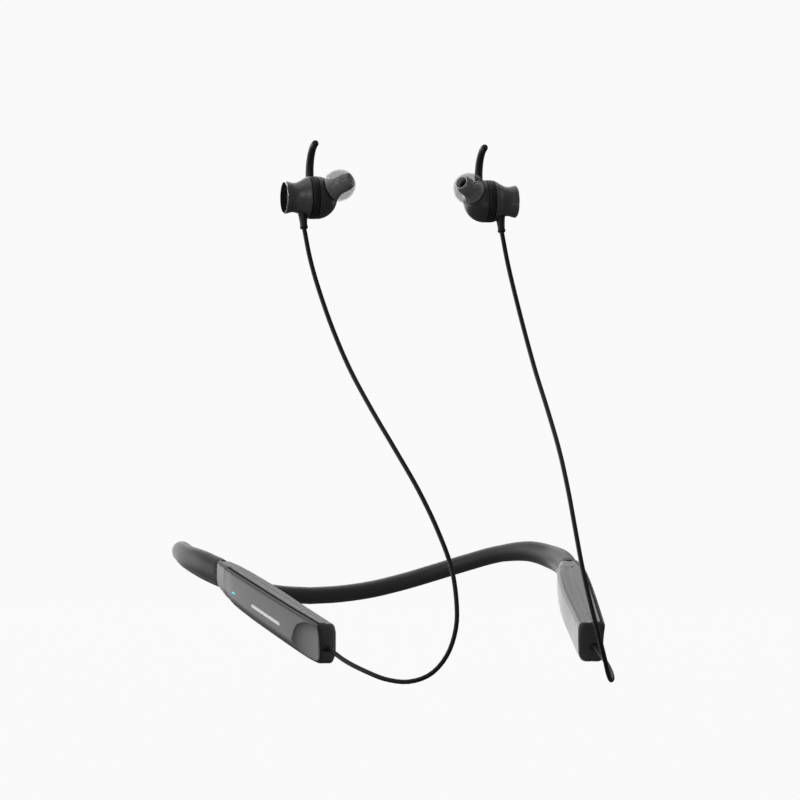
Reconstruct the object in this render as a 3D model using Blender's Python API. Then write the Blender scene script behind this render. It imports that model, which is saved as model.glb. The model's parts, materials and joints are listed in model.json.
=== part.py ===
"""Neckband earphones, modelled as worn: the neckband lies over the shoulders and the earbuds are at the ears.

The pieces named right are at +X, -Y is the front and +Z is up.
The origin is where the nape rests: the middle of the neckband's inner face. Lengths below are millimetres.
"""

import math

import bmesh
import bpy
from mathutils import Matrix, Vector

MM = 0.001
GAP = 0.3  # clearance between touching pieces

# Neckband: the centre line of the right half, from the nape's middle to the pod.
BAND_ROUTE = [
    (0.0, 3.2, 0.0),
    (12.0, 2.6, 0.6),
    (24.0, 0.5, 2.2),
    (35.5, -2.4, 4.9),
    (46.0, -6.1, 8.1),
    (57.5, -13.0, 12.2),
    (66.2, -22.5, 15.5),
    (72.6, -34.0, 16.2),
    (76.0, -46.0, 13.9),
    (75.4, -57.0, 11.6),
    (72.2, -67.8, 8.0),
]
FLEX_POINT = 5  # the route point where the band flexes
BAND_RADIUS = 3.2
BAND_BORE = 1.9
BAND_END_HALF_WIDTH = 4.1
BAND_END_HALF_HEIGHT = 4.75
SOCKET_RADIUS = BAND_RADIUS + GAP
WIRE_RADIUS = 0.6
HARNESS_RADIUS = 0.8
CORE_OFFSET = 0.95

# Pods: each runs from the end of the band down to its front face.
POD_REAR = Vector((72.2, -67.8, 8.0))
POD_FRONT = Vector((54.8, -116.2, -17.2))
POD_RUN = (POD_FRONT - POD_REAR).xy.length
POD_TOE_IN = math.atan2(POD_REAR.x - POD_FRONT.x, POD_REAR.y - POD_FRONT.y)
POD_DROP = (POD_REAR.z - POD_FRONT.z) / POD_RUN
POD_TILT = math.atan(POD_DROP)
POD_WALL = 1.1
# Distance from the rear face, outer and inner half width, top and bottom above the centre line.
POD_STATIONS = [
    (0.3, 4.1, 4.1, 4.6, -4.9),
    (2.5, 4.7, 4.9, 4.8, -6.8),
    (5.0, 5.1, 5.4, 5.0, -8.0),
    (9.0, 5.4, 6.0, 5.2, -8.4),
    (17.0, 5.6, 6.5, 5.5, -8.6),
    (26.0, 5.6, 6.7, 5.8, -8.8),
    (36.0, 5.5, 6.3, 6.1, -9.0),
    (45.0, 5.3, 5.6, 6.5, -9.0),
    (49.5, 5.2, 5.2, 6.7, -8.5),
    (POD_RUN, 5.1, 5.0, 6.8, -7.7),
]
TOP_CORNER = 2.2
BOTTOM_CORNER = 2.8
CAP_DEPTH = 2.2
CAP_RECESS = 0.4
GLAND_AT = (0.6, -2.0)  # across and up, on the front face
GLAND_RADIUS = 1.5
GLAND_FLANGE = 2.0
LED_AT = (9.8, -2.7)
LED_RADIUS = 0.7
BUTTON_AT = {"volume_up": 14.0, "power": 23.0, "volume_down": 32.0}
BUTTON_HEIGHT = -1.6
BUTTON_SIZE = (6.4, 4.0)
BUTTON_PROUD = 0.5
BUTTON_TRAVEL = 0.4
PORT_AT = (27.0, -3.0)
PORT_SIZE = (9.0, 3.2)
PORT_DEPTH = 6.5

# Cables: from the gland, down in a loop under the chin side, and up to the strain relief.
CABLE_RADIUS = 0.85
CABLE_ROUTE = [
    (55.1, -117.2, -19.2),
    (53.4, -127.6, -23.8),
    (50.4, -137.4, -27.4),
    (46.6, -146.0, -30.2),
    (41.6, -153.8, -31.0),
    (36.6, -160.6, -28.4),
    (32.6, -165.0, -22.4),
    (29.6, -166.2, -14.4),
    (27.7, -164.6, -5.2),
    (26.9, -159.3, 9.1),
    (28.4, -151.1, 23.5),
    (30.9, -141.2, 37.9),
    (33.9, -129.2, 52.4),
    (36.5, -115.9, 67.0),
    (38.5, -102.9, 81.7),
    (39.9, -92.0, 96.5),
    (40.8, -82.6, 111.3),
    (41.2, -76.3, 123.0),
    (41.3, -71.7, 134.4),
]
CABLE_POINTS = 64

# Earbuds: the frame of each starts at the strain relief's lower end.
RELIEF_END = Vector((41.3, -71.6, 134.7))
EARBUD_TURN = math.radians(-13.4)
BODY_BACK = 3.9  # the body's axis behind the relief's end
BODY_UP = 10.9
RIM_OUT = 6.6  # the rim's plane outward of the relief's end
RELIEF_LEAN = math.radians(20.0)
DOME_AT = 12.1  # the front dome's centre, from the rim's plane
DOME_RADIUS = 7.9
NOZZLE_HEADING = math.radians(38.0)
NOZZLE_RISE = math.radians(25.0)
NOZZLE_RADIUS = 2.2
NOZZLE_BORE = 1.5
NOZZLE_END = 13.6
SEAT_AT = 6.4  # the flat seat round the nozzle, from the dome's centre
TIP_END = 15.8
ROUND = 20  # sides of a turned piece


def clear_scene():
    for obj in list(bpy.data.objects):
        bpy.data.objects.remove(obj, do_unlink=True)


def finish_material(name, colour, roughness, metallic=0.0, alpha=1.0):
    material = bpy.data.materials.new(name)
    material.use_nodes = True
    shader = material.node_tree.nodes["Principled BSDF"]
    shader.inputs["Base Color"].default_value = (*colour, 1.0)
    shader.inputs["Roughness"].default_value = roughness
    shader.inputs["Metallic"].default_value = metallic
    shader.inputs["Alpha"].default_value = alpha
    return material


def make_materials():
    return {
        "band": finish_material("band_silicone", (0.030, 0.030, 0.032), 0.62),
        "shell": finish_material("satin_shell", (0.045, 0.045, 0.048), 0.38),
        "cap": finish_material("dark_cap", (0.012, 0.012, 0.013), 0.50),
        "cable": finish_material("cable_jacket", (0.014, 0.014, 0.015), 0.42),
        "rubber": finish_material("black_rubber", (0.018, 0.018, 0.019), 0.65),
        "tip": finish_material("smoke_silicone", (0.10, 0.10, 0.11), 0.25, alpha=0.6),
        "steel": finish_material("bright_steel", (0.62, 0.62, 0.64), 0.22, 1.0),
        "board": finish_material("green_board", (0.02, 0.10, 0.05), 0.50),
        "cell": finish_material("cell_wrap", (0.35, 0.36, 0.38), 0.40),
        "light": finish_material("led_window", (0.35, 0.85, 0.95), 0.20),
        "magnet": finish_material("plated_magnet", (0.50, 0.50, 0.52), 0.30, 1.0),
    }


def add_empty(name, location, turn=0.0):
    empty = bpy.data.objects.new(name, None)
    bpy.context.scene.collection.objects.link(empty)
    empty.location = Vector(location) * MM
    empty.rotation_euler.z = turn
    return empty


def add_object(name, mesh_builder, material, parent=None, side=1, smooth=40.0):
    """Turns a bmesh in millimetres into an object; side -1 makes the mirrored, left-hand piece."""
    scale = Matrix.Diagonal((side * MM, MM, MM, 1.0))
    bmesh.ops.transform(mesh_builder, matrix=scale, verts=mesh_builder.verts)
    bmesh.ops.recalc_face_normals(mesh_builder, faces=mesh_builder.faces)
    mesh = bpy.data.meshes.new(name)
    mesh_builder.to_mesh(mesh)
    mesh_builder.free()
    mesh.materials.append(material)
    mesh.shade_smooth()
    mesh.set_sharp_from_angle(angle=math.radians(smooth))
    obj = bpy.data.objects.new(name, mesh)
    bpy.context.scene.collection.objects.link(obj)
    obj.parent = parent
    return obj


def boolean(obj, other, operation):
    """Cuts obj by other, or joins it to other, and makes other a guide."""
    other.hide_render = True
    other.display_type = "WIRE"
    modifier = obj.modifiers.new(other.name, "BOOLEAN")
    modifier.operation = operation
    modifier.object = other
    modifier.solver = "EXACT"


def smooth_route(route, count):
    """Reads evenly spaced points from a Catmull-Rom curve through the route's points."""
    knots = [Vector(point) for point in route]
    knots = [2 * knots[0] - knots[1], *knots, 2 * knots[-1] - knots[-2]]
    fine = []
    steps = 24
    for a, b, c, d in zip(knots, knots[1:], knots[2:], knots[3:]):
        for i in range(steps):
            t = i / steps
            fine.append(
                0.5 * (2 * b + (c - a) * t + (2 * a - 5 * b + 4 * c - d) * t**2 + (3 * b - a - 3 * c + d) * t**3)
            )
    fine.append(knots[-2])
    return space_evenly(fine, count)


def space_evenly(points, count):
    lengths = [0.0]
    for a, b in zip(points, points[1:]):
        lengths.append(lengths[-1] + (b - a).length)
    spaced = []
    index = 0
    for i in range(count):
        target = lengths[-1] * i / (count - 1)
        while index < len(points) - 2 and lengths[index + 1] < target:
            index += 1
        share = (target - lengths[index]) / (lengths[index + 1] - lengths[index])
        spaced.append(points[index].lerp(points[index + 1], share))
    return spaced


def loft(rings, closed=False):
    """Skins rings of equal length; an open skin gets end faces, a closed one joins its last ring to its first."""
    bm = bmesh.new()
    loops = [[bm.verts.new(point) for point in ring] for ring in rings]
    pairs = list(zip(loops, loops[1:]))
    if closed:
        pairs.append((loops[-1], loops[0]))
    else:
        bm.faces.new(loops[0])
        bm.faces.new(loops[-1])
    for low, high in pairs:
        for i in range(len(low)):
            j = (i + 1) % len(low)
            bm.faces.new((low[i], low[j], high[j], high[i]))
    return bm


def turned(profile, sides=ROUND):
    """Turns a closed (along, radius) outline about X; points of radius 0 become single pole vertices."""
    bm = bmesh.new()
    rings = []
    for along, radius in profile:
        if radius == 0:
            rings.append([bm.verts.new((along, 0, 0))])
            continue
        ring = []
        for i in range(sides):
            angle = 2 * math.pi * i / sides
            ring.append(bm.verts.new((along, radius * math.cos(angle), radius * math.sin(angle))))
        rings.append(ring)
    for low, high in zip(rings, rings[1:] + rings[:1]):
        if len(low) == 1 and len(high) == 1:
            continue
        for i in range(sides):
            j = (i + 1) % sides
            corners = [low[i % len(low)], low[j % len(low)], high[j % len(high)], high[i % len(high)]]
            bm.faces.new(list(dict.fromkeys(corners)))
    return bm


def rod(start, end, radius, sides=ROUND, end_radius=None):
    """A plain or tapered round bar along X."""
    far = radius if end_radius is None else end_radius
    return turned([(start, 0), (start, radius), (end, far), (end, 0)], sides)


def block(size, centre=(0, 0, 0), rounding=0.0):
    bm = bmesh.new()
    matrix = Matrix.Translation(centre) @ Matrix.Diagonal((*size, 1.0))
    bmesh.ops.create_cube(bm, size=1.0, matrix=matrix)
    if rounding:
        bmesh.ops.bevel(bm, geom=bm.edges, offset=rounding, segments=1, affect="EDGES")
    return bm


def move(bm, matrix):
    bmesh.ops.transform(bm, matrix=matrix, verts=bm.verts)
    return bm


# ---------------------------------------------------------------- neckband


def band_frames(points, upright_from=None):
    """Centre, side and up vectors along the band; past upright_from the sections turn to stand upright."""
    frames = []
    last = len(points) - 1
    for i, point in enumerate(points):
        tangent = (points[min(i + 1, last)] - points[max(i - 1, 0)]).normalized()
        side = tangent.cross(Vector((0, 0, 1))).normalized()
        up = side.cross(tangent)
        if upright_from is not None and i > upright_from:
            share = (i - upright_from) / (last - upright_from)
            up = up.lerp(Vector((0, 0, 1)), share)
        frames.append((point, tangent, side, up))
    return frames


def oval(frame, half_width, half_height, sides=12, shift=0.0):
    centre, _, side, up = frame
    ring = []
    for i in range(sides):
        angle = 2 * math.pi * i / sides
        across = side * (half_width * math.cos(angle) + shift)
        ring.append(centre + across + up * half_height * math.sin(angle))
    return ring


def moved_frame(frame, along):
    centre, tangent, side, up = frame
    return centre + tangent * along, tangent, side, up


def band_points():
    """The right half's centre line, split where the band flexes."""
    fine = smooth_route(BAND_ROUTE, 400)
    hinge = Vector(BAND_ROUTE[FLEX_POINT])
    split = min(range(len(fine)), key=lambda i: (fine[i] - hinge).length)
    nape, arm = fine[: split + 1], fine[split:]
    return nape, arm


def core_rod(points, radius, shift, sides=6):
    rings = [oval(frame, radius, radius, sides, shift) for frame in band_frames(points)]
    return loft(rings)


def build_nape(materials):
    half, _ = band_points()
    mirrored = [Vector((-point.x, point.y, point.z)) for point in half[:0:-1]]
    line = space_evenly(mirrored + half, 30)
    frames = band_frames(line)
    rim_back = math.sqrt(SOCKET_RADIUS**2 - BAND_RADIUS**2)
    bore_back = math.sqrt(SOCKET_RADIUS**2 - BAND_BORE**2)
    inner = frames[1:-1]
    outer_rings = [oval(moved_frame(frames[0], rim_back), BAND_RADIUS, BAND_RADIUS)]
    outer_rings += [oval(frame, BAND_RADIUS, BAND_RADIUS) for frame in inner]
    outer_rings += [oval(moved_frame(frames[-1], -rim_back), BAND_RADIUS, BAND_RADIUS)]
    middle = (rim_back + bore_back) / 2
    middle_radius = math.sqrt(SOCKET_RADIUS**2 - middle**2)
    far_socket = [
        oval(moved_frame(frames[-1], -middle), middle_radius, middle_radius),
        oval(moved_frame(frames[-1], -bore_back), BAND_BORE, BAND_BORE),
    ]
    bore_rings = [oval(frame, BAND_BORE, BAND_BORE) for frame in reversed(inner[1:-1])]
    near_socket = [
        oval(moved_frame(frames[0], bore_back), BAND_BORE, BAND_BORE),
        oval(moved_frame(frames[0], middle), middle_radius, middle_radius),
    ]
    add_object("nape_sleeve", loft(outer_rings + far_socket + bore_rings + near_socket, True), materials["band"])
    core = line[1:-1]
    add_object("nape_spring_wire", core_rod(core, WIRE_RADIUS, -CORE_OFFSET), materials["steel"])
    add_object("nape_harness", core_rod(core, HARNESS_RADIUS, CORE_OFFSET - 0.1), materials["cable"])


def build_arm(name, side, materials):
    _, arm = band_points()
    line = space_evenly(arm, 18)
    last = len(line) - 1
    end_face = line[last] + (line[last - 1] - line[last]).normalized() * 0.02
    line[last] = end_face
    frames = band_frames(line, last - 5)
    heading = Vector((-math.sin(POD_TOE_IN), -math.cos(POD_TOE_IN), 0))
    across = heading.cross(Vector((0, 0, 1))).normalized()
    frames[last] = (line[last], heading, across, Vector((0, 0, 1)))
    outer = []
    for i, frame in enumerate(frames):
        share = max(0.0, (i - 0.42 * last) / (0.58 * last)) ** 1.3
        width = BAND_RADIUS + (BAND_END_HALF_WIDTH - BAND_RADIUS) * share
        height = BAND_RADIUS + (BAND_END_HALF_HEIGHT - BAND_RADIUS) * share
        outer.append(oval(frame, width, height))
    bore_back = math.sqrt(BAND_RADIUS**2 - BAND_BORE**2)
    ball = []
    for share in (1.0, 0.75, 0.45):
        back = bore_back * share
        radius = math.sqrt(BAND_RADIUS**2 - back**2)
        ball.append(oval(moved_frame(frames[0], -back), radius, radius))
    bore = [oval(frame, BAND_BORE, BAND_BORE) for frame in reversed(frames)]
    add_object(f"{name}_arm_sleeve", loft(ball + outer + bore, True), materials["band"], None, side)
    core = line[1:-1]
    add_object(f"{name}_arm_wire", core_rod(core, WIRE_RADIUS, -CORE_OFFSET), materials["steel"], None, side)
    harness = core_rod(core, HARNESS_RADIUS, CORE_OFFSET - 0.1)
    add_object(f"{name}_arm_harness", harness, materials["cable"], None, side)


# ---------------------------------------------------------------- pods
# A pod's own frame starts at its rear face: X outward, -Y forward, and its sections stand upright.


def shear(bm):
    """Drops each point with its distance forward, so that the pod runs downhill with upright end faces."""
    for vert in bm.verts:
        vert.co.z += vert.co.y * POD_DROP
    return bm


def half_outline(half_width, top, bottom, inset, sign):
    """One half of a pod's section, from the top middle down the side to the bottom middle."""
    width = half_width - inset
    high = top - inset
    low = bottom + inset
    top_corner = TOP_CORNER - inset * 0.6
    low_corner = BOTTOM_CORNER - inset * 0.6
    points = [(GAP / 2, high)]
    for i in range(4):
        angle = math.pi / 2 * (1 - i / 3)
        points.append((width - top_corner + top_corner * math.cos(angle), high - top_corner * (1 - math.sin(angle))))
    for i in range(5):
        angle = -math.pi / 2 * i / 4
        points.append((width - low_corner + low_corner * math.cos(angle), low + low_corner * (1 + math.sin(angle))))
    points.append((GAP / 2, low))
    return [(sign * x, z) for x, z in points]


def half_shell(sign):
    """A pod's outer (sign 1) or inner (sign -1) half shell, split on the pod's middle plane."""
    rings = []
    for along, outer, inner, top, bottom in POD_STATIONS:
        half_width = outer if sign > 0 else inner
        outline = half_outline(half_width, top, bottom, 0.0, sign)
        outline += reversed(half_outline(half_width, top, bottom, POD_WALL, sign))
        rings.append([(x, -along, z) for x, z in outline])
    return shear(loft(rings))


def full_outline(along, outer, inner, top, bottom, inset):
    right = half_outline(outer, top, bottom, inset, 1)
    left = half_outline(inner, top, bottom, inset, -1)
    return [(x, -along, z) for x, z in right + left[::-1]]


def front_cap():
    _, outer, inner, top, bottom = POD_STATIONS[-2]
    _, outer_front, inner_front, top_front, bottom_front = POD_STATIONS[-1]
    inset = POD_WALL + GAP
    front = POD_RUN - CAP_RECESS
    rings = [
        full_outline(front - CAP_DEPTH, outer - 0.1, inner - 0.3, top - 0.1, bottom + 0.8, inset),
        full_outline(front, outer_front, inner_front, top_front, bottom_front, inset),
    ]
    return shear(loft(rings))


def tilted_block(size, along, across, up, rounding=0.0):
    """A block that follows the pod's slope: size is across, along the slope and square to it."""
    bm = block(size, (0, 0, 0), rounding)
    place = Matrix.Translation((across, -along, up - along * POD_DROP))
    return move(bm, place @ Matrix.Rotation(POD_TILT, 4, "X"))


def gland():
    """A flanged bush: its neck passes through the cap and its flange lies on the cap's face."""
    face = POD_RUN - CAP_RECESS
    back = face - CAP_DEPTH - 0.8
    bore = CABLE_RADIUS + GAP
    neck = GLAND_RADIUS - GAP
    flange = face + GAP
    profile = [(back, bore), (back, neck), (flange, neck), (flange, GLAND_FLANGE), (flange + 0.6, GLAND_FLANGE - 0.4)]
    profile.append((flange + 0.6, bore))
    bm = turned(profile, 16)
    across, up = GLAND_AT
    to_forward = Matrix.Rotation(-math.pi / 2, 4, "Z")
    return move(bm, Matrix.Translation((across, 0, up - POD_RUN * POD_DROP)) @ to_forward)


def across_rod(along, up, near, far, radius, sides=16):
    """A round bar across the pod at a place on its side wall."""
    bm = rod(near, far, radius, sides)
    return move(bm, Matrix.Translation((0, -along, up - along * POD_DROP)))


def button_block(length, height, near, far, along, rounding):
    """A button-shaped block across the pod: an upright oblong, sheared along the slope."""
    bm = block((far - near, length, height), ((near + far) / 2, -along, BUTTON_HEIGHT))
    upright = [e for e in bm.edges if abs((e.verts[0].co - e.verts[1].co).normalized().x) > 0.9]
    bmesh.ops.bevel(bm, geom=upright, offset=rounding, segments=3, affect="EDGES")
    return shear(bm)


def build_pod(name, side, materials):
    turn = -side * POD_TOE_IN
    place = add_empty(f"{name}_pod_place", (side * POD_REAR.x, POD_REAR.y, POD_REAR.z), turn)
    outer = add_object(f"{name}_outer_shell", half_shell(1), materials["shell"], place, side)
    inner = add_object(f"{name}_inner_shell", half_shell(-1), materials["shell"], place, side)
    cap = add_object(f"{name}_end_cap", front_cap(), materials["cap"], place, side)
    across, up = GLAND_AT
    hole = rod(POD_RUN - 8, POD_RUN + 4, GLAND_RADIUS, 16)
    to_forward = Matrix.Rotation(-math.pi / 2, 4, "Z")
    move(hole, Matrix.Translation((across, 0, up - POD_RUN * POD_DROP)) @ to_forward)
    boolean(cap, add_object(f"{name}_gland_hole", hole, materials["cap"], place, side), "DIFFERENCE")
    add_object(f"{name}_cable_gland", gland(), materials["rubber"], place, side)
    anchor = tilted_block((5.0, 4.2, 5.2), 4.6, 0.1, -0.6, 0.4)
    add_object(f"{name}_band_anchor", anchor, materials["steel"], place, side)
    return place, outer, inner


def build_left_pod(materials):
    place, outer, _ = build_pod("left", -1, materials)
    along, up = LED_AT
    hole = across_rod(along, up, 2.0, 8.0, LED_RADIUS + GAP)
    boolean(outer, add_object("left_led_hole", hole, materials["shell"], place, -1), "DIFFERENCE")
    pipe = across_rod(along, up, 3.0, 5.35, LED_RADIUS)
    add_object("led_light_pipe", pipe, materials["light"], place, -1)
    board = tilted_block((0.8, 8.0, 6.0), along + 0.5, 2.2, up + 1.0)
    add_object("led_board", board, materials["board"], place, -1)
    add_object("battery_cell", tilted_block((6.0, 28.0, 7.6), 30.0, -0.6, -1.5, 0.8), materials["cell"], place, -1)


def build_buttons(place, outer, materials):
    """The buttons stand in oblong holes of the right outer shell, each over its own switch on the main board."""
    length, height = BUTTON_SIZE
    _, side_width, _, _, _ = POD_STATIONS[5]
    for name, along in BUTTON_AT.items():
        hole = button_block(length + 2 * GAP, height + 2 * GAP, 3.2, 8.0, along, 1.6)
        boolean(outer, add_object(f"{name}_hole", hole, materials["shell"], place), "DIFFERENCE")
        near, far = side_width - 1.9, side_width + BUTTON_PROUD
        button = button_block(length, height, near, far, along, 1.4)
        add_object(f"{name}_button", button, materials["rubber"], place)
        switch_top = near - BUTTON_TRAVEL - GAP
        switch = button_block(3.0, 2.6, switch_top - 1.0, switch_top, along, 0.4)
        add_object(f"{name}_switch", switch, materials["steel"], place)
    return side_width - 1.9 - BUTTON_TRAVEL - GAP - 1.0


def build_port(place, inner, materials):
    """The charging socket opens downward through the inner shell's floor, under a hinged rubber cover."""
    along, across = PORT_AT
    length, width = PORT_SIZE
    floor = POD_STATIONS[5][4]
    slot = block((width, length, 4.0), (across, -along, floor + 0.4))
    boolean(inner, add_object("port_slot", shear(slot), materials["shell"], place), "DIFFERENCE")
    socket = block((width - 0.4, length - 0.4, PORT_DEPTH), (across, -along, floor + 1.7 + PORT_DEPTH / 2))
    mouth = block((width - 1.4, length - 1.4, 8.0), (across, -along, floor + 1.7))
    socket_object = add_object("usb_socket", shear(socket), materials["steel"], place)
    boolean(socket_object, add_object("usb_mouth", shear(mouth), materials["steel"], place), "DIFFERENCE")
    cover = block((width - 2 * GAP, length - 2 * GAP, 1.0), (across, -along, floor + 0.7))
    add_object("usb_cover", shear(cover), materials["rubber"], place)


def build_right_pod(materials):
    place, outer, inner = build_pod("right", 1, materials)
    board_face = build_buttons(place, outer, materials)
    board = tilted_block((0.8, 29.0, 6.4), 23.0, board_face - GAP - 0.4, -1.4)
    add_object("main_board", board, materials["board"], place)
    shield = tilted_block((1.4, 8.0, 5.4), 15.0, board_face - GAP - 0.8 - GAP - 0.7, -1.3)
    add_object("radio_shield", shield, materials["steel"], place)
    build_port(place, inner, materials)
    motor = across_rod(42.5, -1.0, -3.4, -0.6, 3.0)
    add_object("vibration_motor", motor, materials["steel"], place)
    microphone = tilted_block((1.6, 3.0, 2.2), 42.5, 1.6, -1.0)
    add_object("microphone", microphone, materials["magnet"], place)


# ---------------------------------------------------------------- cables


def build_cable(name, side, materials):
    """A free cable: a round tube along a smooth curve through its route."""
    curve = bpy.data.curves.new(f"{name}_cable", "CURVE")
    curve.dimensions = "3D"
    curve.bevel_depth = CABLE_RADIUS * MM
    curve.bevel_resolution = 2
    curve.use_fill_caps = True
    spline = curve.splines.new("POLY")
    points = smooth_route(CABLE_ROUTE, CABLE_POINTS)
    spline.points.add(len(points) - 1)
    for spot, point in zip(spline.points, points):
        spot.co = (side * point.x * MM, point.y * MM, point.z * MM, 1.0)
    curve.materials.append(materials["cable"])
    obj = bpy.data.objects.new(f"{name}_cable", curve)
    bpy.context.scene.collection.objects.link(obj)


# ---------------------------------------------------------------- earbuds
# An earbud's own frame starts at the strain relief's lower end: X outward, Y back, Z up.
# Body pieces are turned about the body's axis and measured inward from the rim's plane.


def body_place():
    """From inward distance along the body's axis to the earbud's frame."""
    flip = Matrix.Rotation(math.pi, 4, "Z")
    return Matrix.Translation((RIM_OUT, BODY_BACK, BODY_UP)) @ flip


def nozzle_place():
    """From distance along the nozzle's axis to the earbud's frame."""
    dome = body_place() @ Vector((DOME_AT, 0, 0))
    aim = Vector((
        -math.cos(NOZZLE_RISE) * math.cos(NOZZLE_HEADING),
        -math.cos(NOZZLE_RISE) * math.sin(NOZZLE_HEADING),
        math.sin(NOZZLE_RISE),
    ))
    turn = aim.to_track_quat("X", "Z").to_matrix().to_4x4()
    return Matrix.Translation(dome) @ turn


def relief_place():
    lean = Vector((0, math.sin(RELIEF_LEAN), math.cos(RELIEF_LEAN)))
    return lean.to_track_quat("X", "Z").to_matrix().to_4x4()


TRUMPET_OUTER = [(0.75, 6.05), (1.6, 5.75), (3.0, 5.45), (4.6, 5.65), (6.2, 6.35), (7.6, 7.2), (8.7, 7.7), (9.1, 7.75)]
TRUMPET_INNER = [(9.1, 5.9), (6.2, 5.2), (3.4, 4.4), (1.5, 4.7), (0.75, 5.0)]
SPIGOT_RADIUS = 6.6
HOOK_BAND = (9.4, 12.1)
HOOK_ARC = 10.8  # the fin's centre line
HOOK_ARC_CENTRE = (-1.9, 9.7)  # back and up from the body's axis
HOOK_ROOT = -32.0  # degrees along the arc, level to the back
HOOK_SWEEP = 121.0
HOOK_SHIFT = 1.2  # inward, clear of the root


def dome_profile(radius, start, steps=7):
    """The rounded nose from start to its tip, about the dome's centre."""
    first = math.acos((start - DOME_AT) / radius)
    points = []
    for i in range(steps):
        angle = first * (1 - i / steps)
        points.append((DOME_AT + radius * math.cos(angle), radius * math.sin(angle)))
    points.append((DOME_AT + radius, 0))
    return points


def front_housing(name, side, place, materials):
    """Spigot and dome in one, with a flat seat, a nozzle through it and a bored passage to the driver."""
    start = HOOK_BAND[1] + GAP
    outer = [(9.4, 0), (9.4, SPIGOT_RADIUS), (start, SPIGOT_RADIUS), *dome_profile(DOME_RADIUS, start)]
    housing = add_object(f"{name}_front_housing", move(turned(outer), body_place()), materials["shell"], place, side)
    seat = block((8.0, 20.0, 20.0), (SEAT_AT + 4.0, 0, 0))
    seat_cut = add_object(f"{name}_seat_cut", move(seat, nozzle_place()), materials["shell"], place, side)
    boolean(housing, seat_cut, "DIFFERENCE")
    nozzle = move(rod(4.5, NOZZLE_END, NOZZLE_RADIUS, 16), nozzle_place())
    boolean(housing, add_object(f"{name}_nozzle_tube", nozzle, materials["shell"], place, side), "UNION")
    hollow = [(8.0, 0), (8.0, 5.9), (13.4, 5.9), (15.6, 4.6), (17.2, 2.6), (17.8, 0)]
    hollow_cut = add_object(f"{name}_hollow", move(turned(hollow), body_place()), materials["shell"], place, side)
    boolean(housing, hollow_cut, "DIFFERENCE")
    bore = move(rod(2.0, NOZZLE_END + 2, NOZZLE_BORE, 12), nozzle_place())
    boolean(housing, add_object(f"{name}_nozzle_bore", bore, materials["shell"], place, side), "DIFFERENCE")


def ear_tip():
    """A soft tip: a flared core over the nozzle and a thin dome folded back round it."""
    bore = NOZZLE_RADIUS + GAP
    base = SEAT_AT + GAP
    core_side = [(base, bore), (base, 4.4), (7.6, 4.0), (9.0, 3.4), (11.0, 3.15), (13.2, 3.2)]
    dome_inside = [(13.9, 3.7), (12.6, 4.75), (10.7, 5.3), (8.8, 5.1), (7.4, 4.75)]
    dome_outside = [(7.2, 5.1), (8.6, 5.65), (10.7, 5.85), (12.6, 5.5), (14.2, 4.65), (15.3, 3.6), (TIP_END, 2.7)]
    mouth = [(TIP_END - 0.3, 2.0), (NOZZLE_END + 0.6, 1.9), (NOZZLE_END + 0.5, bore)]
    return move(turned(core_side + dome_inside + dome_outside + mouth), nozzle_place())


def ear_hook(name, side, place, materials):
    """A soft band round the body, with a fin that rises behind it and curls forward over the top."""
    near, far = HOOK_BAND
    inside = SPIGOT_RADIUS + GAP
    outside = DOME_RADIUS - 0.05
    profile = [(near, inside), (near, outside - 0.2), (near + 0.3, outside), (far - 0.3, outside), (far, outside - 0.2)]
    profile.append((far, inside))
    band = move(turned(profile, 28), body_place())
    hook = add_object(f"{name}_ear_hook", band, materials["rubber"], place, side)
    rings = []
    middle = RIM_OUT - (near + far) / 2
    back, up = HOOK_ARC_CENTRE
    steps = 14
    for i in range(steps + 1):
        share = i / steps
        angle = math.radians(HOOK_ROOT + HOOK_SWEEP * share)
        tip = 0.45 if i == steps else 1.0
        thick = (1.65 - 0.6 * share) * tip
        wide = (1.35 + 0.25 * min(share * 5, 1.0) - 0.55 * share) * tip
        shift = HOOK_SHIFT * min(share * 5, 1.0)
        ring = []
        for corner in range(8):
            turn = math.pi / 4 * corner + math.pi / 8
            out = HOOK_ARC + thick * math.sin(turn)
            ring.append((
                middle - shift + wide * math.cos(turn),
                BODY_BACK + back + out * math.cos(angle),
                BODY_UP + up + out * math.sin(angle),
            ))
        rings.append(ring)
    fin = add_object(f"{name}_fin", loft(rings), materials["rubber"], place, side)
    boolean(hook, fin, "UNION")


def strain_relief(name, side, place, materials):
    """A tapered sleeve from the body's underside down to the cable, ending in a small collar."""
    profile = [(0.0, 0), (0.0, 1.4), (0.5, 1.45), (0.6, 1.3), (3.5, 1.55), (7.2, 2.1), (7.2, 0)]
    relief = add_object(f"{name}_strain_relief", move(turned(profile, 16), relief_place()), materials["rubber"],
                        place, side)
    around = [(-1, 0), (-1, 6.4)] + [(along, radius + GAP) for along, radius in TRUMPET_OUTER] + [(9.3, 0)]
    body_cut = add_object(f"{name}_relief_cut", move(turned(around), body_place()), materials["rubber"], place, side)
    boolean(relief, body_cut, "DIFFERENCE")


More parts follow.
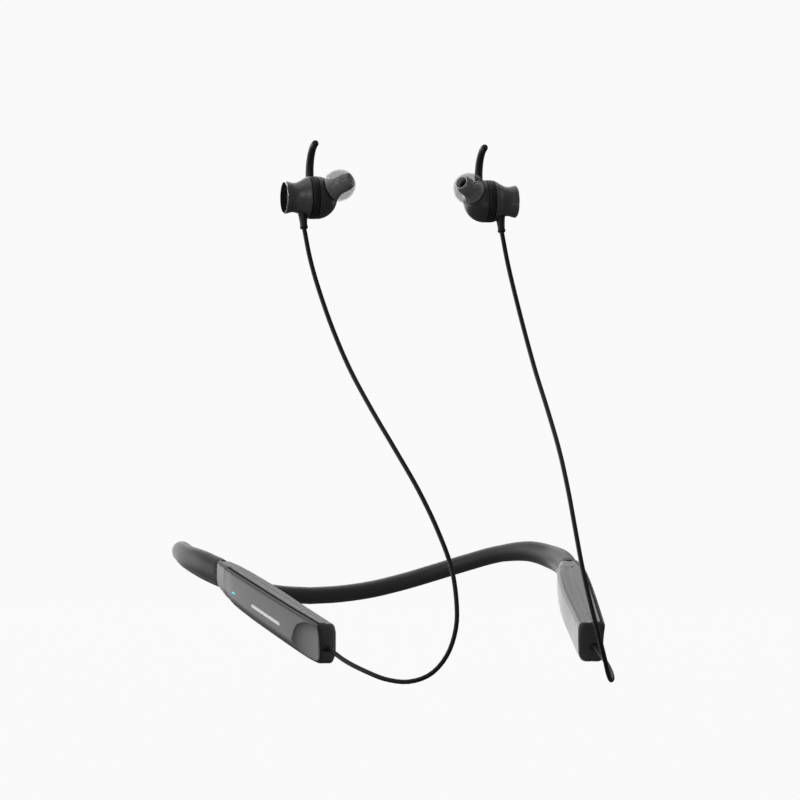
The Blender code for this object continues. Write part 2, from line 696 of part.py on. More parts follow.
def build_earbud(name, side, materials):
    place = add_empty(f"{name}_earbud_place", (side * RELIEF_END.x, RELIEF_END.y, RELIEF_END.z), EARBUD_TURN)
    plain = {
        "rear_housing": (move(turned(TRUMPET_OUTER + TRUMPET_INNER), body_place()), "shell"),
        "rim_ring": (move(turned([(0.0, 5.5), (0.0, 5.85), (0.25, 6.1), (0.45, 6.1), (0.45, 5.5)]), body_place()), "steel"),
        "back_disc": (move(rod(0.1, 0.45, 5.2), body_place()), "cap"),
        "magnet": (move(rod(1.3, 3.0, 3.6, 16), body_place()), "magnet"),
        "driver": (move(rod(9.8, 12.6, 5.4), body_place()), "cap"),
        "nozzle_mesh": (move(rod(NOZZLE_END - 0.6, NOZZLE_END - 0.2, NOZZLE_BORE - GAP, 12), nozzle_place()), "steel"),
        "ear_tip": (ear_tip(), "tip"),
    }
    for piece, (bm, finish) in plain.items():
        add_object(f"{name}_{piece}", bm, materials[finish], place, side)
    front_housing(name, side, place, materials)
    ear_hook(name, side, place, materials)
    strain_relief(name, side, place, materials)


def main():
    clear_scene()
    materials = make_materials()
    build_nape(materials)
    for name, side in (("left", -1), ("right", 1)):
        build_arm(name, side, materials)
        build_cable(name, side, materials)
        build_earbud(name, side, materials)
    build_left_pod(materials)
    build_right_pod(materials)


main()
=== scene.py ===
"""Neckband earphones: a silicone neckband, two pods with cables, and two earbuds with hooks.

Sizes are millimetres until a piece is put in its place; right is +X, front is -Y and +Z is up.
"""

import bisect
import json
import logging
import math
from dataclasses import dataclass, field
from enum import Enum
from typing import Callable, Iterable, Sequence

import bpy
from mathutils import Matrix, Vector


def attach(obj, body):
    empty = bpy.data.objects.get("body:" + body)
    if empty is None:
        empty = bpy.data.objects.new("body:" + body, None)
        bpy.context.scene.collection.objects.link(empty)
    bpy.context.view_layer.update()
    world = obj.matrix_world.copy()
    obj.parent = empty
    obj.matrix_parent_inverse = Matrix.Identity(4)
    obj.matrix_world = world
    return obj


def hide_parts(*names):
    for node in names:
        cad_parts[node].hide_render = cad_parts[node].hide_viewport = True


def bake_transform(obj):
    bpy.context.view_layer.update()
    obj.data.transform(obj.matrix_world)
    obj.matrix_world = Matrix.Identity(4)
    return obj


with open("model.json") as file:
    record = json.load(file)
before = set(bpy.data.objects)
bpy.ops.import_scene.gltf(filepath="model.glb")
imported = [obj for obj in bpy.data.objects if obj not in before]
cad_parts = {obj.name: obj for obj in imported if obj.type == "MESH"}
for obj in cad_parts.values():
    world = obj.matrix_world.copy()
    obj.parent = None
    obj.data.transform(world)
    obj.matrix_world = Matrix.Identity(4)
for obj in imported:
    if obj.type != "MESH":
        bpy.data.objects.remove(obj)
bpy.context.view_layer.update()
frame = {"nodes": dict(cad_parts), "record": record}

log = logging.getLogger("earphones")
MM = 0.001
GAP = 0.3
FULL_TURN = 2 * math.pi
SAME_POINT = 1e-4
NO_LENGTH = 1e-5
CURVE_STEPS = 24
CRISP_EDGE = 40.0
Point = tuple[float, float, float]
Pair = tuple[float, float]
Model = bpy.types.Object
Material = bpy.types.Material
Tree = bpy.types.NodeTree
Node = bpy.types.Node
Socket = bpy.types.NodeSocket
Value = Vector | float


class Side(Enum):
    """The two halves of the earphones; the value mirrors X."""

    LEFT = -1
    RIGHT = 1

    @property
    def word(self) -> str:
        """The side's name as the CAD bodies and nodes spell it."""
        return self.name.lower()

    @property
    def mirror(self) -> Matrix:
        """Mirrors the right-hand shape for the left."""
        return Matrix.Diagonal((self.value, 1.0, 1.0, 1.0))


# ---------------------------------------------------------------- the workbench


class Bench:
    """Shapes meshes with Blender's own operators, in millimetres, and puts them in place."""

    @staticmethod
    def clear() -> None:
        """Leaves nothing selected."""
        bpy.ops.object.select_all(action="DESELECT")

    @staticmethod
    def pick(obj: Model) -> None:
        """Selects one object and makes it active."""
        Bench.clear()
        obj.select_set(True)
        bpy.context.view_layer.objects.active = obj

    @staticmethod
    def tidy_edit_mesh() -> None:
        """Merges doubles and turns the faces outwards in edit mode, then leaves it."""
        bpy.ops.mesh.select_all(action="SELECT")
        bpy.ops.mesh.remove_doubles(threshold=SAME_POINT)
        bpy.ops.mesh.dissolve_degenerate(threshold=NO_LENGTH)
        bpy.ops.mesh.select_all(action="SELECT")
        bpy.ops.mesh.normals_make_consistent(inside=False)
        bpy.ops.object.mode_set(mode="OBJECT")

    @staticmethod
    def turned(name: str, profile: Sequence[Pair], sides: int, place: Matrix) -> Model:
        """Spins a closed outline about X, as on a lathe, and puts it in its place.

        Args:
            name: the new object's name.
            profile: (along, radius) points; the last joins the first.
            sides: steps round the axis.
            place: from the lathe's axis to the frame that the piece is made in.

        Returns:
            The turned solid.
        """
        Bench.clear()
        bpy.ops.mesh.primitive_plane_add(size=1.0, location=(0, 0, 0))
        obj = bpy.context.object
        obj.name = name
        bpy.ops.object.mode_set(mode="EDIT")
        bpy.ops.mesh.select_all(action="SELECT")
        bpy.ops.mesh.merge(type="CENTER")
        along, radius = profile[0]
        bpy.ops.transform.translate(value=(along, 0, radius))
        for (a, r), (b, s) in zip(profile, [*profile[1:], profile[0]]):
            bpy.ops.mesh.extrude_region_move(TRANSFORM_OT_translate={"value": (b - a, 0, s - r)})
        bpy.ops.mesh.select_all(action="SELECT")
        bpy.ops.mesh.remove_doubles(threshold=SAME_POINT)
        bpy.ops.mesh.select_all(action="SELECT")
        bpy.ops.mesh.spin(steps=sides, angle=FULL_TURN, center=(0, 0, 0), axis=(1, 0, 0))
        Bench.tidy_edit_mesh()
        obj.data.transform(place)
        return obj

    @staticmethod
    def skinned(name: str, rings: Sequence[Sequence[Point]]) -> Model:
        """Extrudes a circle ring by ring, lays each ring on its section and closes both ends.

        Args:
            name: the new object's name.
            rings: sections with the same number of points.

        Returns:
            The skinned solid.
        """
        count = len(rings[0])
        Bench.clear()
        bpy.ops.mesh.primitive_circle_add(
            vertices=count, radius=1.0, fill_type="NOTHING", location=(0, 0, 0)
        )
        obj = bpy.context.object
        obj.name = name
        bpy.ops.object.mode_set(mode="EDIT")
        bpy.ops.mesh.select_mode(type="VERT")
        bpy.ops.mesh.select_all(action="SELECT")
        for _ in rings[1:]:
            bpy.ops.mesh.extrude_region_move(TRANSFORM_OT_translate={"value": (0, 0, 1.0)})
        bpy.ops.mesh.edge_face_add()
        bpy.ops.object.mode_set(mode="OBJECT")
        steps = [(round(v.co.z), math.atan2(v.co.y, v.co.x)) for v in obj.data.vertices]
        for vertex, (level, angle) in zip(obj.data.vertices, steps):
            vertex.co = rings[level][round(angle / FULL_TURN * count) % count]
        bpy.ops.object.mode_set(mode="EDIT")
        bpy.ops.mesh.select_all(action="DESELECT")
        bpy.ops.object.mode_set(mode="OBJECT")
        for vertex, (level, _) in zip(obj.data.vertices, steps):
            vertex.select = level == 0
        bpy.ops.object.mode_set(mode="EDIT")
        bpy.ops.mesh.edge_face_add()
        Bench.tidy_edit_mesh()
        return obj

    @staticmethod
    def block(
        name: str, size: Point, centre: Point, rounding: float, segments: int
    ) -> Model:
        """Adds a box at its size and place and rounds all of its edges."""
        Bench.clear()
        bpy.ops.mesh.primitive_cube_add(size=1.0, location=centre)
        obj = bpy.context.object
        obj.name = name
        obj.scale = size
        bpy.ops.object.transform_apply(location=True, rotation=True, scale=True)
        bpy.ops.object.mode_set(mode="EDIT")
        bpy.ops.mesh.select_all(action="SELECT")
        bpy.ops.mesh.bevel(offset=rounding, segments=segments, affect="EDGES")
        Bench.tidy_edit_mesh()
        return obj

    @staticmethod
    def fill_pinholes(obj: Model) -> None:
        """Closes the open edges that cutting has left, and goes back to picking points."""
        Bench.pick(obj)
        bpy.ops.object.mode_set(mode="EDIT")
        bpy.ops.mesh.select_mode(type="EDGE")
        bpy.ops.mesh.select_all(action="DESELECT")
        bpy.ops.mesh.select_non_manifold()
        bpy.ops.mesh.fill_holes(sides=0)
        bpy.ops.mesh.select_mode(type="VERT")
        Bench.tidy_edit_mesh()

    @staticmethod
    def combine(
        obj: Model, other: Model, operation: str
    ) -> Model:
        """Cuts obj by other or joins it to other, applies the result and removes other."""
        Bench.pick(obj)
        modifier = obj.modifiers.new("combine", "BOOLEAN")
        modifier.operation = operation
        modifier.solver = "EXACT"
        modifier.object = other
        bpy.ops.object.modifier_apply(modifier=modifier.name)
        mesh = other.data
        bpy.data.objects.remove(other)
        bpy.data.meshes.remove(mesh)
        return obj

    @staticmethod
    def soften(
        obj: Model, width: float, segments: int, angle: float
    ) -> Model:
        """Rounds the edges sharper than angle degrees."""
        Bench.pick(obj)
        modifier = obj.modifiers.new("soften", "BEVEL")
        modifier.width = width
        modifier.segments = segments
        modifier.limit_method = "ANGLE"
        modifier.angle_limit = math.radians(angle)
        modifier.use_clamp_overlap = True
        bpy.ops.object.modifier_apply(modifier=modifier.name)
        return obj

    @staticmethod
    def copy(obj: Model, name: str) -> Model:
        """Copies an object with its own mesh."""
        twin = obj.copy()
        twin.data = obj.data.copy()
        twin.name = name
        bpy.context.scene.collection.objects.link(twin)
        return twin

    @staticmethod
    def place(
        obj: Model, name: str, matrix: Matrix, material: Material
    ) -> Model:
        """Gives a finished piece its name, its place in its own mesh, its finish and its shading.

        Args:
            obj: the piece, in millimetres in its maker's frame.
            name: the piece's final name.
            matrix: from that frame to the row frame, in metres.
            material: the finish.

        Returns:
            The piece.
        """
        Bench.pick(obj)
        obj.name = name
        obj.data.name = name
        obj.data.transform(matrix)
        if matrix.to_3x3().determinant() < 0:
            obj.data.flip_normals()
        obj.data.materials.clear()
        obj.data.materials.append(material)
        bpy.ops.object.shade_smooth_by_angle(angle=math.radians(CRISP_EDGE))
        obj.select_set(False)
        log.info("%s: %d faces", name, len(obj.data.polygons))
        return obj


def curve_value(a: Value, b: Value, c: Value, d: Value, share: float) -> Value:
    """Reads a Catmull-Rom curve part of the way from b to c."""
    bend = (2 * a - 5 * b + 4 * c - d) * share**2 + (3 * b - a - 3 * c + d) * share**3
    return 0.5 * (2 * b + (c - a) * share + bend)


def smooth_line(route: Sequence[Point], count: int) -> list[Vector]:
    """Reads evenly spaced points from a smooth curve through a route.

    Args:
        route: the points that the line passes through.
        count: how many points to return.

    Returns:
        The points, the first and last of the route included.
    """
    knots = [Vector(point) for point in route]
    knots = [2 * knots[0] - knots[1], *knots, 2 * knots[-1] - knots[-2]]
    fine = []
    for a, b, c, d in zip(knots, knots[1:], knots[2:], knots[3:]):
        fine += [curve_value(a, b, c, d, i / CURVE_STEPS) for i in range(CURVE_STEPS)]
    fine.append(knots[-2])
    return spaced(fine, count)


def spaced(points: Sequence[Vector], count: int) -> list[Vector]:
    """Reads count evenly spaced points from a line of many short pieces."""
    lengths = [0.0]
    for a, b in zip(points, points[1:]):
        lengths.append(lengths[-1] + (b - a).length)
    result = []
    for i in range(count):
        target = lengths[-1] * i / (count - 1)
        index = min(max(bisect.bisect_left(lengths, target) - 1, 0), len(points) - 2)
        share = (target - lengths[index]) / (lengths[index + 1] - lengths[index])
        result.append(points[index].lerp(points[index + 1], share))
    return result


def rounded_profile(profile: Sequence[Pair], per_step: int) -> list[Pair]:
    """Draws a smooth open outline through (along, radius) points."""
    line = smooth_line([(a, r, 0.0) for a, r in profile], per_step * len(profile))
    return [(point.x, max(point.y, 0.0)) for point in line]


def ease(value: float, low: float, high: float) -> float:
    """Rises smoothly from 0 at low to 1 at high."""
    t = min(max((value - low) / (high - low), 0.0), 1.0)
    return t * t * (3 - 2 * t)


# ---------------------------------------------------------------- finishes


class Effects:
    """Shader node groups that several finishes share; each is built once.

    A noise's scale is how many of its features lie along a metre.
    """

    ROUGHEN = 0.6
    GRAIN_CELLS = 0.35
    HANDLING_SCALE = 140.0
    CLOUD_SCALE = 90.0
    SPECK_SCALE = 4200.0
    FLECK_SCALE = 2600.0
    FLECK_CUT = 0.66
    LINT_TONE = (0.5, 0.5, 0.5, 1.0)

    def __init__(self) -> None:
        """Builds the grain, mottle and dust groups."""
        self.grain = self.build_grain()
        self.mottle = self.build_mottle()
        self.dust = self.build_dust()

    @staticmethod
    def start(
        name: str,
        inputs: Iterable[tuple[str, str, float]],
        outputs: Iterable[tuple[str, str]],
    ) -> tuple[Tree, Node, Node]:
        """Starts a group with its sockets.

        Args:
            name: the group's name.
            inputs: (name, kind, default) of each input; kind is Float, Color or Vector.
            outputs: (name, kind) of each output.

        Returns:
            The tree and its input and output nodes.
        """
        tree = bpy.data.node_groups.new(name, "ShaderNodeTree")
        for label, kind, default in inputs:
            kind_name = f"NodeSocket{kind}"
            socket = tree.interface.new_socket(label, in_out="INPUT", socket_type=kind_name)
            if kind == "Float":
                socket.default_value = default
        for label, kind in outputs:
            tree.interface.new_socket(label, in_out="OUTPUT", socket_type=f"NodeSocket{kind}")
        return tree, tree.nodes.new("NodeGroupInput"), tree.nodes.new("NodeGroupOutput")

    @staticmethod
    def noise(
        tree: Tree, vector: Socket, scale: Socket | float, detail: float
    ) -> Socket:
        """Adds a noise of a given scale and returns its value."""
        node = tree.nodes.new("ShaderNodeTexNoise")
        node.inputs["Detail"].default_value = detail
        node.inputs["Roughness"].default_value = Effects.ROUGHEN
        tree.links.new(vector, node.inputs["Vector"])
        if isinstance(scale, float):
            node.inputs["Scale"].default_value = scale
        else:
            tree.links.new(scale, node.inputs["Scale"])
        return node.outputs["Fac"]

    @staticmethod
    def sum_up(tree: Tree, kind: str, *values: Socket | float) -> Socket:
        """Adds a Math node of that kind on the values and returns its result."""
        node = tree.nodes.new("ShaderNodeMath")
        node.operation = kind
        for socket, value in zip(node.inputs, values):
            if isinstance(value, (int, float)):
                socket.default_value = value
            else:
                tree.links.new(value, socket)
        return node.outputs[0]

    def blended(self, tree: Tree, a: Socket, b: Socket, shares: Pair) -> Socket:
        """Adds two values by their shares and centres the sum on nought."""
        rest = self.sum_up(tree, "MULTIPLY", b, shares[1])
        both = self.sum_up(tree, "MULTIPLY_ADD", a, shares[0], rest)
        return self.sum_up(tree, "SUBTRACT", both, 0.5)

    def build_grain(self) -> Tree:
        """Moulded grain: a fine height, and a roughness that drifts with it and with handling."""
        inputs = [
            ("Vector", "Vector", 0),
            ("Size", "Float", 9000),
            ("Roughness", "Float", 0.5),
            ("Drift", "Float", 0.1),
        ]
        outputs = [("Height", "Float"), ("Roughness", "Float")]
        tree, source, result = self.start("Moulded grain", inputs, outputs)
        vector = source.outputs["Vector"]
        fine = self.noise(tree, vector, source.outputs["Size"], 2.0)
        cells = tree.nodes.new("ShaderNodeTexVoronoi")
        tree.links.new(vector, cells.inputs["Vector"])
        tree.links.new(source.outputs["Size"], cells.inputs["Scale"])
        distance = cells.outputs["Distance"]
        height = self.sum_up(tree, "MULTIPLY_ADD", distance, self.GRAIN_CELLS, fine)
        marks = self.noise(tree, vector, self.HANDLING_SCALE, 4.0)
        swing = self.blended(tree, marks, fine, (0.8, 0.2))
        drift = self.sum_up(tree, "MULTIPLY", swing, source.outputs["Drift"])
        rough = self.sum_up(tree, "ADD", source.outputs["Roughness"], drift)
        tree.links.new(height, result.inputs["Height"])
        tree.links.new(rough, result.inputs["Roughness"])
        return tree

    def build_mottle(self) -> Tree:
        """A colour that varies a little in soft clouds and fine specks."""
        inputs = [("Vector", "Vector", 0), ("Color", "Color", 0), ("Amount", "Float", 0.1)]
        tree, source, result = self.start("Colour mottle", inputs, [("Color", "Color")])
        vector = source.outputs["Vector"]
        clouds = self.noise(tree, vector, self.CLOUD_SCALE, 3.0)
        specks = self.noise(tree, vector, self.SPECK_SCALE, 1.0)
        swing = self.blended(tree, specks, clouds, (0.35, 0.65))
        change = self.sum_up(tree, "MULTIPLY", swing, source.outputs["Amount"])
        tint = tree.nodes.new("ShaderNodeHueSaturation")
        tree.links.new(self.sum_up(tree, "ADD", change, 1.0), tint.inputs["Value"])
        tree.links.new(source.outputs["Color"], tint.inputs["Color"])
        tree.links.new(tint.outputs["Color"], result.inputs["Color"])
        return tree

    def build_dust(self) -> Tree:
        """Faint lint that settles on faces that look up."""
        inputs = [("Vector", "Vector", 0), ("Color", "Color", 0), ("Amount", "Float", 0.02)]
        tree, source, result = self.start("Settled lint", inputs, [("Color", "Color")])
        geometry = tree.nodes.new("ShaderNodeNewGeometry")
        split = tree.nodes.new("ShaderNodeSeparateXYZ")
        tree.links.new(geometry.outputs["Normal"], split.inputs["Vector"])
        upward = self.sum_up(tree, "MAXIMUM", split.outputs["Z"], 0.0)
        flecks = self.noise(tree, source.outputs["Vector"], self.FLECK_SCALE, 3.0)
        picked = self.sum_up(tree, "GREATER_THAN", flecks, self.FLECK_CUT)
        settled = self.sum_up(tree, "MULTIPLY", picked, upward)
        mix = tree.nodes.new("ShaderNodeMix")
        mix.data_type = "RGBA"
        mix.inputs["B"].default_value = self.LINT_TONE
        share = self.sum_up(tree, "MULTIPLY", settled, source.outputs["Amount"])
        tree.links.new(share, mix.inputs["Factor"])
        tree.links.new(source.outputs["Color"], mix.inputs["A"])
        tree.links.new(mix.outputs["Result"], result.inputs["Color"])
        return tree


COAT_ROUGHNESS = 0.2
SHEEN_ROUGHNESS = 0.4
BUMP_STRENGTH = 0.6
PLASTIC_IOR = 1.5


@dataclass(frozen=True)
class Finish:
    """One surface finish: its colour, gloss and the amounts of the shared effects.

    The grain's size is how many grains lie along a metre, and its depth is in metres.
    """

    name: str
    colour: Point
    roughness: float
    metallic: float = 0.0
    specular: float = 0.5
    coat: float = 0.0
    sheen: float = 0.0
    # Emission: the status light's real glow, and painted glow on the pale mark, which is no lamp.
    glow: float = 0.0
    alpha: float = 1.0
    grain_size: float = 9000.0
    grain_depth: float = 0.00001
    drift: float = 0.1
    mottle: float = 0.15
    lint: float = 0.0

    def build(self, effects: Effects) -> Material:
        """Builds the material on Object coordinates.

        Args:
            effects: the shared node groups.

        Returns:
            The finished material.
        """
        material = bpy.data.materials.new(self.name)
        material.use_nodes = True
        tree = material.node_tree
        shader = tree.nodes["Principled BSDF"]
        constants = {
            "Metallic": self.metallic,
            "Specular IOR Level": self.specular,
            "Coat Weight": self.coat,
            "Coat Roughness": COAT_ROUGHNESS,
            "Sheen Weight": self.sheen,
            "Sheen Roughness": SHEEN_ROUGHNESS,
            "IOR": PLASTIC_IOR,
            "Emission Strength": self.glow,
            "Alpha": self.alpha,
        }
        for label, value in constants.items():
            shader.inputs[label].default_value = value
        shader.inputs["Emission Color"].default_value = (*self.colour, 1.0)
        coordinates = tree.nodes.new("ShaderNodeTexCoord").outputs["Object"]
        grain = self.add_group(tree, effects.grain, coordinates)
        grain.inputs["Size"].default_value = self.grain_size
        grain.inputs["Roughness"].default_value = self.roughness
        grain.inputs["Drift"].default_value = self.drift
        mottle = self.add_group(tree, effects.mottle, coordinates)
        mottle.inputs["Color"].default_value = (*self.colour, 1.0)
        mottle.inputs["Amount"].default_value = self.mottle
        colour = mottle.outputs["Color"]
        if self.lint:
            dust = self.add_group(tree, effects.dust, coordinates)
            dust.inputs["Amount"].default_value = self.lint
            tree.links.new(colour, dust.inputs["Color"])
            colour = dust.outputs["Color"]
        tree.links.new(colour, shader.inputs["Base Color"])
        tree.links.new(grain.outputs["Roughness"], shader.inputs["Roughness"])
        bump = tree.nodes.new("ShaderNodeBump")
        bump.inputs["Strength"].default_value = BUMP_STRENGTH
        bump.inputs["Distance"].default_value = self.grain_depth
        tree.links.new(grain.outputs["Height"], bump.inputs["Height"])
        tree.links.new(bump.outputs["Normal"], shader.inputs["Normal"])
        return material

    @staticmethod
    def add_group(
        tree: Tree, group: Tree, vector: Socket
    ) -> Node:
        """Places a shared group in the material and feeds it the coordinates."""
        node = tree.nodes.new("ShaderNodeGroup")
        node.node_tree = group
        tree.links.new(vector, node.inputs["Vector"])
        return node


FINISHES = {
    "band": Finish(
        "Band silicone", (0.052, 0.052, 0.054), 0.48, sheen=0.25, grain_depth=0.000012, lint=0.10
    ),
    "shell": Finish(
        "Satin shell",
        (0.20, 0.20, 0.203),
        0.36,
        metallic=0.40,
        grain_size=7000.0,
        grain_depth=0.000008,
        mottle=0.10,
    ),
    "cap": Finish("Dark cap", (0.050, 0.050, 0.051), 0.40, grain_size=5200.0),
    "cable": Finish(
        "Cable jacket", (0.012, 0.012, 0.013), 0.50, specular=0.25, grain_depth=0.000006, drift=0.16
    ),
    "rubber": Finish("Black rubber", (0.012, 0.012, 0.013), 0.55, sheen=0.05, lint=0.05),
    "tip": Finish(
        "Smoked silicone", (0.10, 0.10, 0.102), 0.20, alpha=0.25, grain_depth=0.000004
    ),
    # Painted light: the smoked core is coloured pale grey to stand in for the light that shines
    # through it from behind.
    "core": Finish(
        "Smoked core (painted through-light)", (0.52, 0.52, 0.525), 0.30, coat=0.3, grain_depth=0.000004, mottle=0.3
    ),
    "steel": Finish(
        "Bright steel",
        (0.72, 0.72, 0.73),
        0.16,
        metallic=1.0,
        grain_size=3500.0,
        grain_depth=0.000003,
    ),
    "board": Finish("Green board", (0.02, 0.10, 0.05), 0.42, grain_size=2500.0, mottle=0.5),
    "cell": Finish("Cell wrap", (0.35, 0.36, 0.38), 0.36, grain_size=1800.0, mottle=0.25),
    "light": Finish("Light window", (0.16, 0.72, 0.86), 0.25, glow=0.7, mottle=0.05),
    "magnet": Finish(
        "Plated magnet", (0.50, 0.50, 0.52), 0.28, metallic=1.0, grain_size=2600.0
    ),
    # Painted light and shade: dome and housing are one satin plastic, given as a darker copy for
    # the dome and a lighter copy for the trumpet housing.
    "dome": Finish(
        "Satin dome (painted shaded tone)", (0.056, 0.056, 0.057), 0.36, grain_size=7000.0, grain_depth=0.000007
    ),
    "housing": Finish(
        "Satin housing (painted lit tone)", (0.105, 0.105, 0.107), 0.34, grain_size=7000.0, grain_depth=0.000007
    ),
    # Painted shade: a dark, barely reflecting strip that stands in for the shadow in the crease
    # between the covers.
    "seam": Finish("Painted crease shade", (0.030, 0.030, 0.031), 0.6, specular=0.08, grain_size=5200.0),
    "disc": Finish("Back disc", (0.008, 0.008, 0.009), 0.7, specular=0.0, grain_size=5200.0),
    # The mark's pale tone is print; its glow is painted light.
    "mark": Finish("Pale mark (painted glow)", (0.80, 0.81, 0.82), 0.45, glow=0.3, mottle=0.06),
}


class Paint:
    """Every finish as a material, and the finish of each CAD node that stays in view."""

    def __init__(self) -> None:
        """Builds the shared effects and then each material."""
        effects = Effects()
        self.materials = {key: finish.build(effects) for key, finish in FINISHES.items()}

    def __getitem__(self, key: str) -> Material:
        """The material of that finish."""
        return self.materials[key]

    def dress_nodes(self) -> None:
        """Paints every CAD node by the material slot that the record gives it."""
        slots = {entry["node"]: entry["material_slot"] for entry in frame["record"]["subparts"]}
        for name, node in frame["nodes"].items():
            material = self.materials[slots[name]]
            if not node.data.materials:
                node.data.materials.append(material)
            for index in range(len(node.data.materials)):
                node.data.materials[index] = material


# ---------------------------------------------------------------- studio


@dataclass(frozen=True)
class Studio:
    """Pale sweep, soft boxes and the camera; places are in metres and turns in degrees."""

    camera_at: Point = (-1.5908, -3.0609, 0.0202)
    camera_tilt: float = 90.8675
    camera_turn: float = -28.0
    lens: float = 413.1
    sensor: float = 36.0
    clip: Pair = (0.1, 60.0)
    floor_at: float = -0.0326
    sweep_reach: float = 5.0
    sweep_height: float = 4.0
    sweep_radius: float = 1.5
    sweep_steps: int = 12
    sweep_sides: int = 64
    floor_glow: float = 0.95
    floor_tone: Point = (0.004, 0.004, 0.004)
    fill: float = 0.10

    def build_camera(self) -> None:
        """Adds the camera and makes it the scene's own."""
        Bench.clear()
        turn = (math.radians(self.camera_tilt), 0.0, math.radians(self.camera_turn))
        bpy.ops.object.camera_add(location=self.camera_at, rotation=turn)
        camera = bpy.context.object
        camera.data.lens = self.lens
        camera.data.sensor_width = self.sensor
        camera.data.clip_start, camera.data.clip_end = self.clip
        bpy.context.scene.camera = camera

    def build_sweep(self) -> None:
        """Lays the round pale floor, which curves up into a wall all round."""
        reach, radius = self.sweep_reach, self.sweep_radius
        outline = [(0.0, 0.0), (reach, 0.0)]
        for i in range(1, self.sweep_steps + 1):
            angle = math.pi / 2 * i / self.sweep_steps
            outline.append((reach + radius * math.sin(angle), radius * (1 - math.cos(angle))))
        outline.append((reach + radius, self.sweep_height))
        Bench.clear()
        bpy.ops.mesh.primitive_plane_add(size=1.0, location=(0, 0, 0))
        sweep = bpy.context.object
        sweep.name = "pale_sweep"
        bpy.ops.object.mode_set(mode="EDIT")
        bpy.ops.mesh.merge(type="CENTER")
        for (a, b), (c, d) in zip(outline, outline[1:]):
            bpy.ops.mesh.extrude_region_move(TRANSFORM_OT_translate={"value": (c - a, 0, d - b)})
        bpy.ops.mesh.select_all(action="SELECT")
        sides = self.sweep_sides
        bpy.ops.mesh.spin(steps=sides, angle=FULL_TURN, center=(0, 0, 0), axis=(0, 0, 1))
        Bench.tidy_edit_mesh()
        sweep.location.z = self.floor_at
        bpy.ops.object.shade_smooth()
        material = bpy.data.materials.new("Pale floor")
        material.use_nodes = True
        shader = material.node_tree.nodes["Principled BSDF"]
        shader.inputs["Base Color"].default_value = (*self.floor_tone, 1.0)
        shader.inputs["Roughness"].default_value = 0.9
        shader.inputs["Specular IOR Level"].default_value = 0.0
        shader.inputs["Emission Color"].default_value = (1.0, 1.0, 1.0, 1.0)
        shader.inputs["Emission Strength"].default_value = self.floor_glow
        sweep.data.materials.append(material)
        sweep.visible_glossy = False
        sweep.visible_diffuse = False

    @staticmethod
    def soft_box(name: str, place: Point, size: Pair, radiance: float) -> None:
        """Adds a soft box that looks at the object's middle and stays out of the camera's sight.

        Args:
            name: the light's name.
            place: its middle, in metres.
            size: its width and height, in metres.
            radiance: how bright its face is.
        """
        Bench.clear()
        aim = Vector(LIGHTS_AIM) - Vector(place)
        turn = aim.to_track_quat("-Z", "Y").to_euler()
        bpy.ops.object.light_add(type="AREA", location=place, rotation=turn)
        light = bpy.context.object
        light.name = name
        light.visible_camera = False
        light.data.shape = "RECTANGLE"
        light.data.size, light.data.size_y = size
        light.data.energy = radiance * math.pi * size[0] * size[1]

    def build_lights(self) -> None:
        """Adds the soft boxes and a surround that is pale to the eye and dim as a light."""
        for box in SOFT_BOXES:
            self.soft_box(*box)
        world = bpy.data.worlds.new("surround")
        world.use_nodes = True
        tree = world.node_tree
        background = tree.nodes["Background"]
        path = tree.nodes.new("ShaderNodeLightPath")
        strength = tree.nodes.new("ShaderNodeMapRange")
        strength.inputs["To Min"].default_value = self.fill
        strength.inputs["To Max"].default_value = self.floor_glow
        tree.links.new(path.outputs["Is Camera Ray"], strength.inputs["Value"])
        tree.links.new(strength.outputs["Result"], background.inputs["Strength"])
        background.inputs["Color"].default_value = (1.0, 1.0, 1.0, 1.0)
        bpy.context.scene.world = world
        bpy.context.scene.view_settings.view_transform = "Standard"


LIGHTS_AIM = (0.0, -0.08, 0.07)
SOFT_BOXES = (
    ("back_wall", (-0.9, 2.8, 0.8), (5.8, 3.2), 1.9),
    ("left_box", (-2.6, 1.3, 0.5), (2.0, 2.4), 1.25),
    ("top_box", (-0.1, 0.5, 2.4), (2.6, 2.0), 0.95),
    ("right_box", (2.3, 0.0, 0.4), (1.4, 1.8), 0.9),
    ("front_box", (-2.1, -1.7, 1.0), (1.2, 1.2), 2.6),
    ("rear_top_box", (1.6, 2.1, 2.2), (2.4, 1.8), 1.15),
    ("low_front_box", (-1.0, -2.6, -0.9), (1.4, 0.9), 0.8),
)


# ---------------------------------------------------------------- neckband


BAND_ROUTE = [
    (0.0, 3.2, 0.0),
    (12.0, 2.6, 0.6),
    (24.0, 0.5, 2.2),
    (35.5, -2.4, 4.9),
    (46.0, -6.1, 8.1),
    (57.5, -13.0, 12.2),
    (66.2, -22.5, 15.5),
    (72.6, -34.0, 16.2),
    (76.0, -46.0, 13.9),
    (75.4, -57.0, 11.6),
    (72.2, -67.8, 8.0),
]
FLEX_POINT = 5


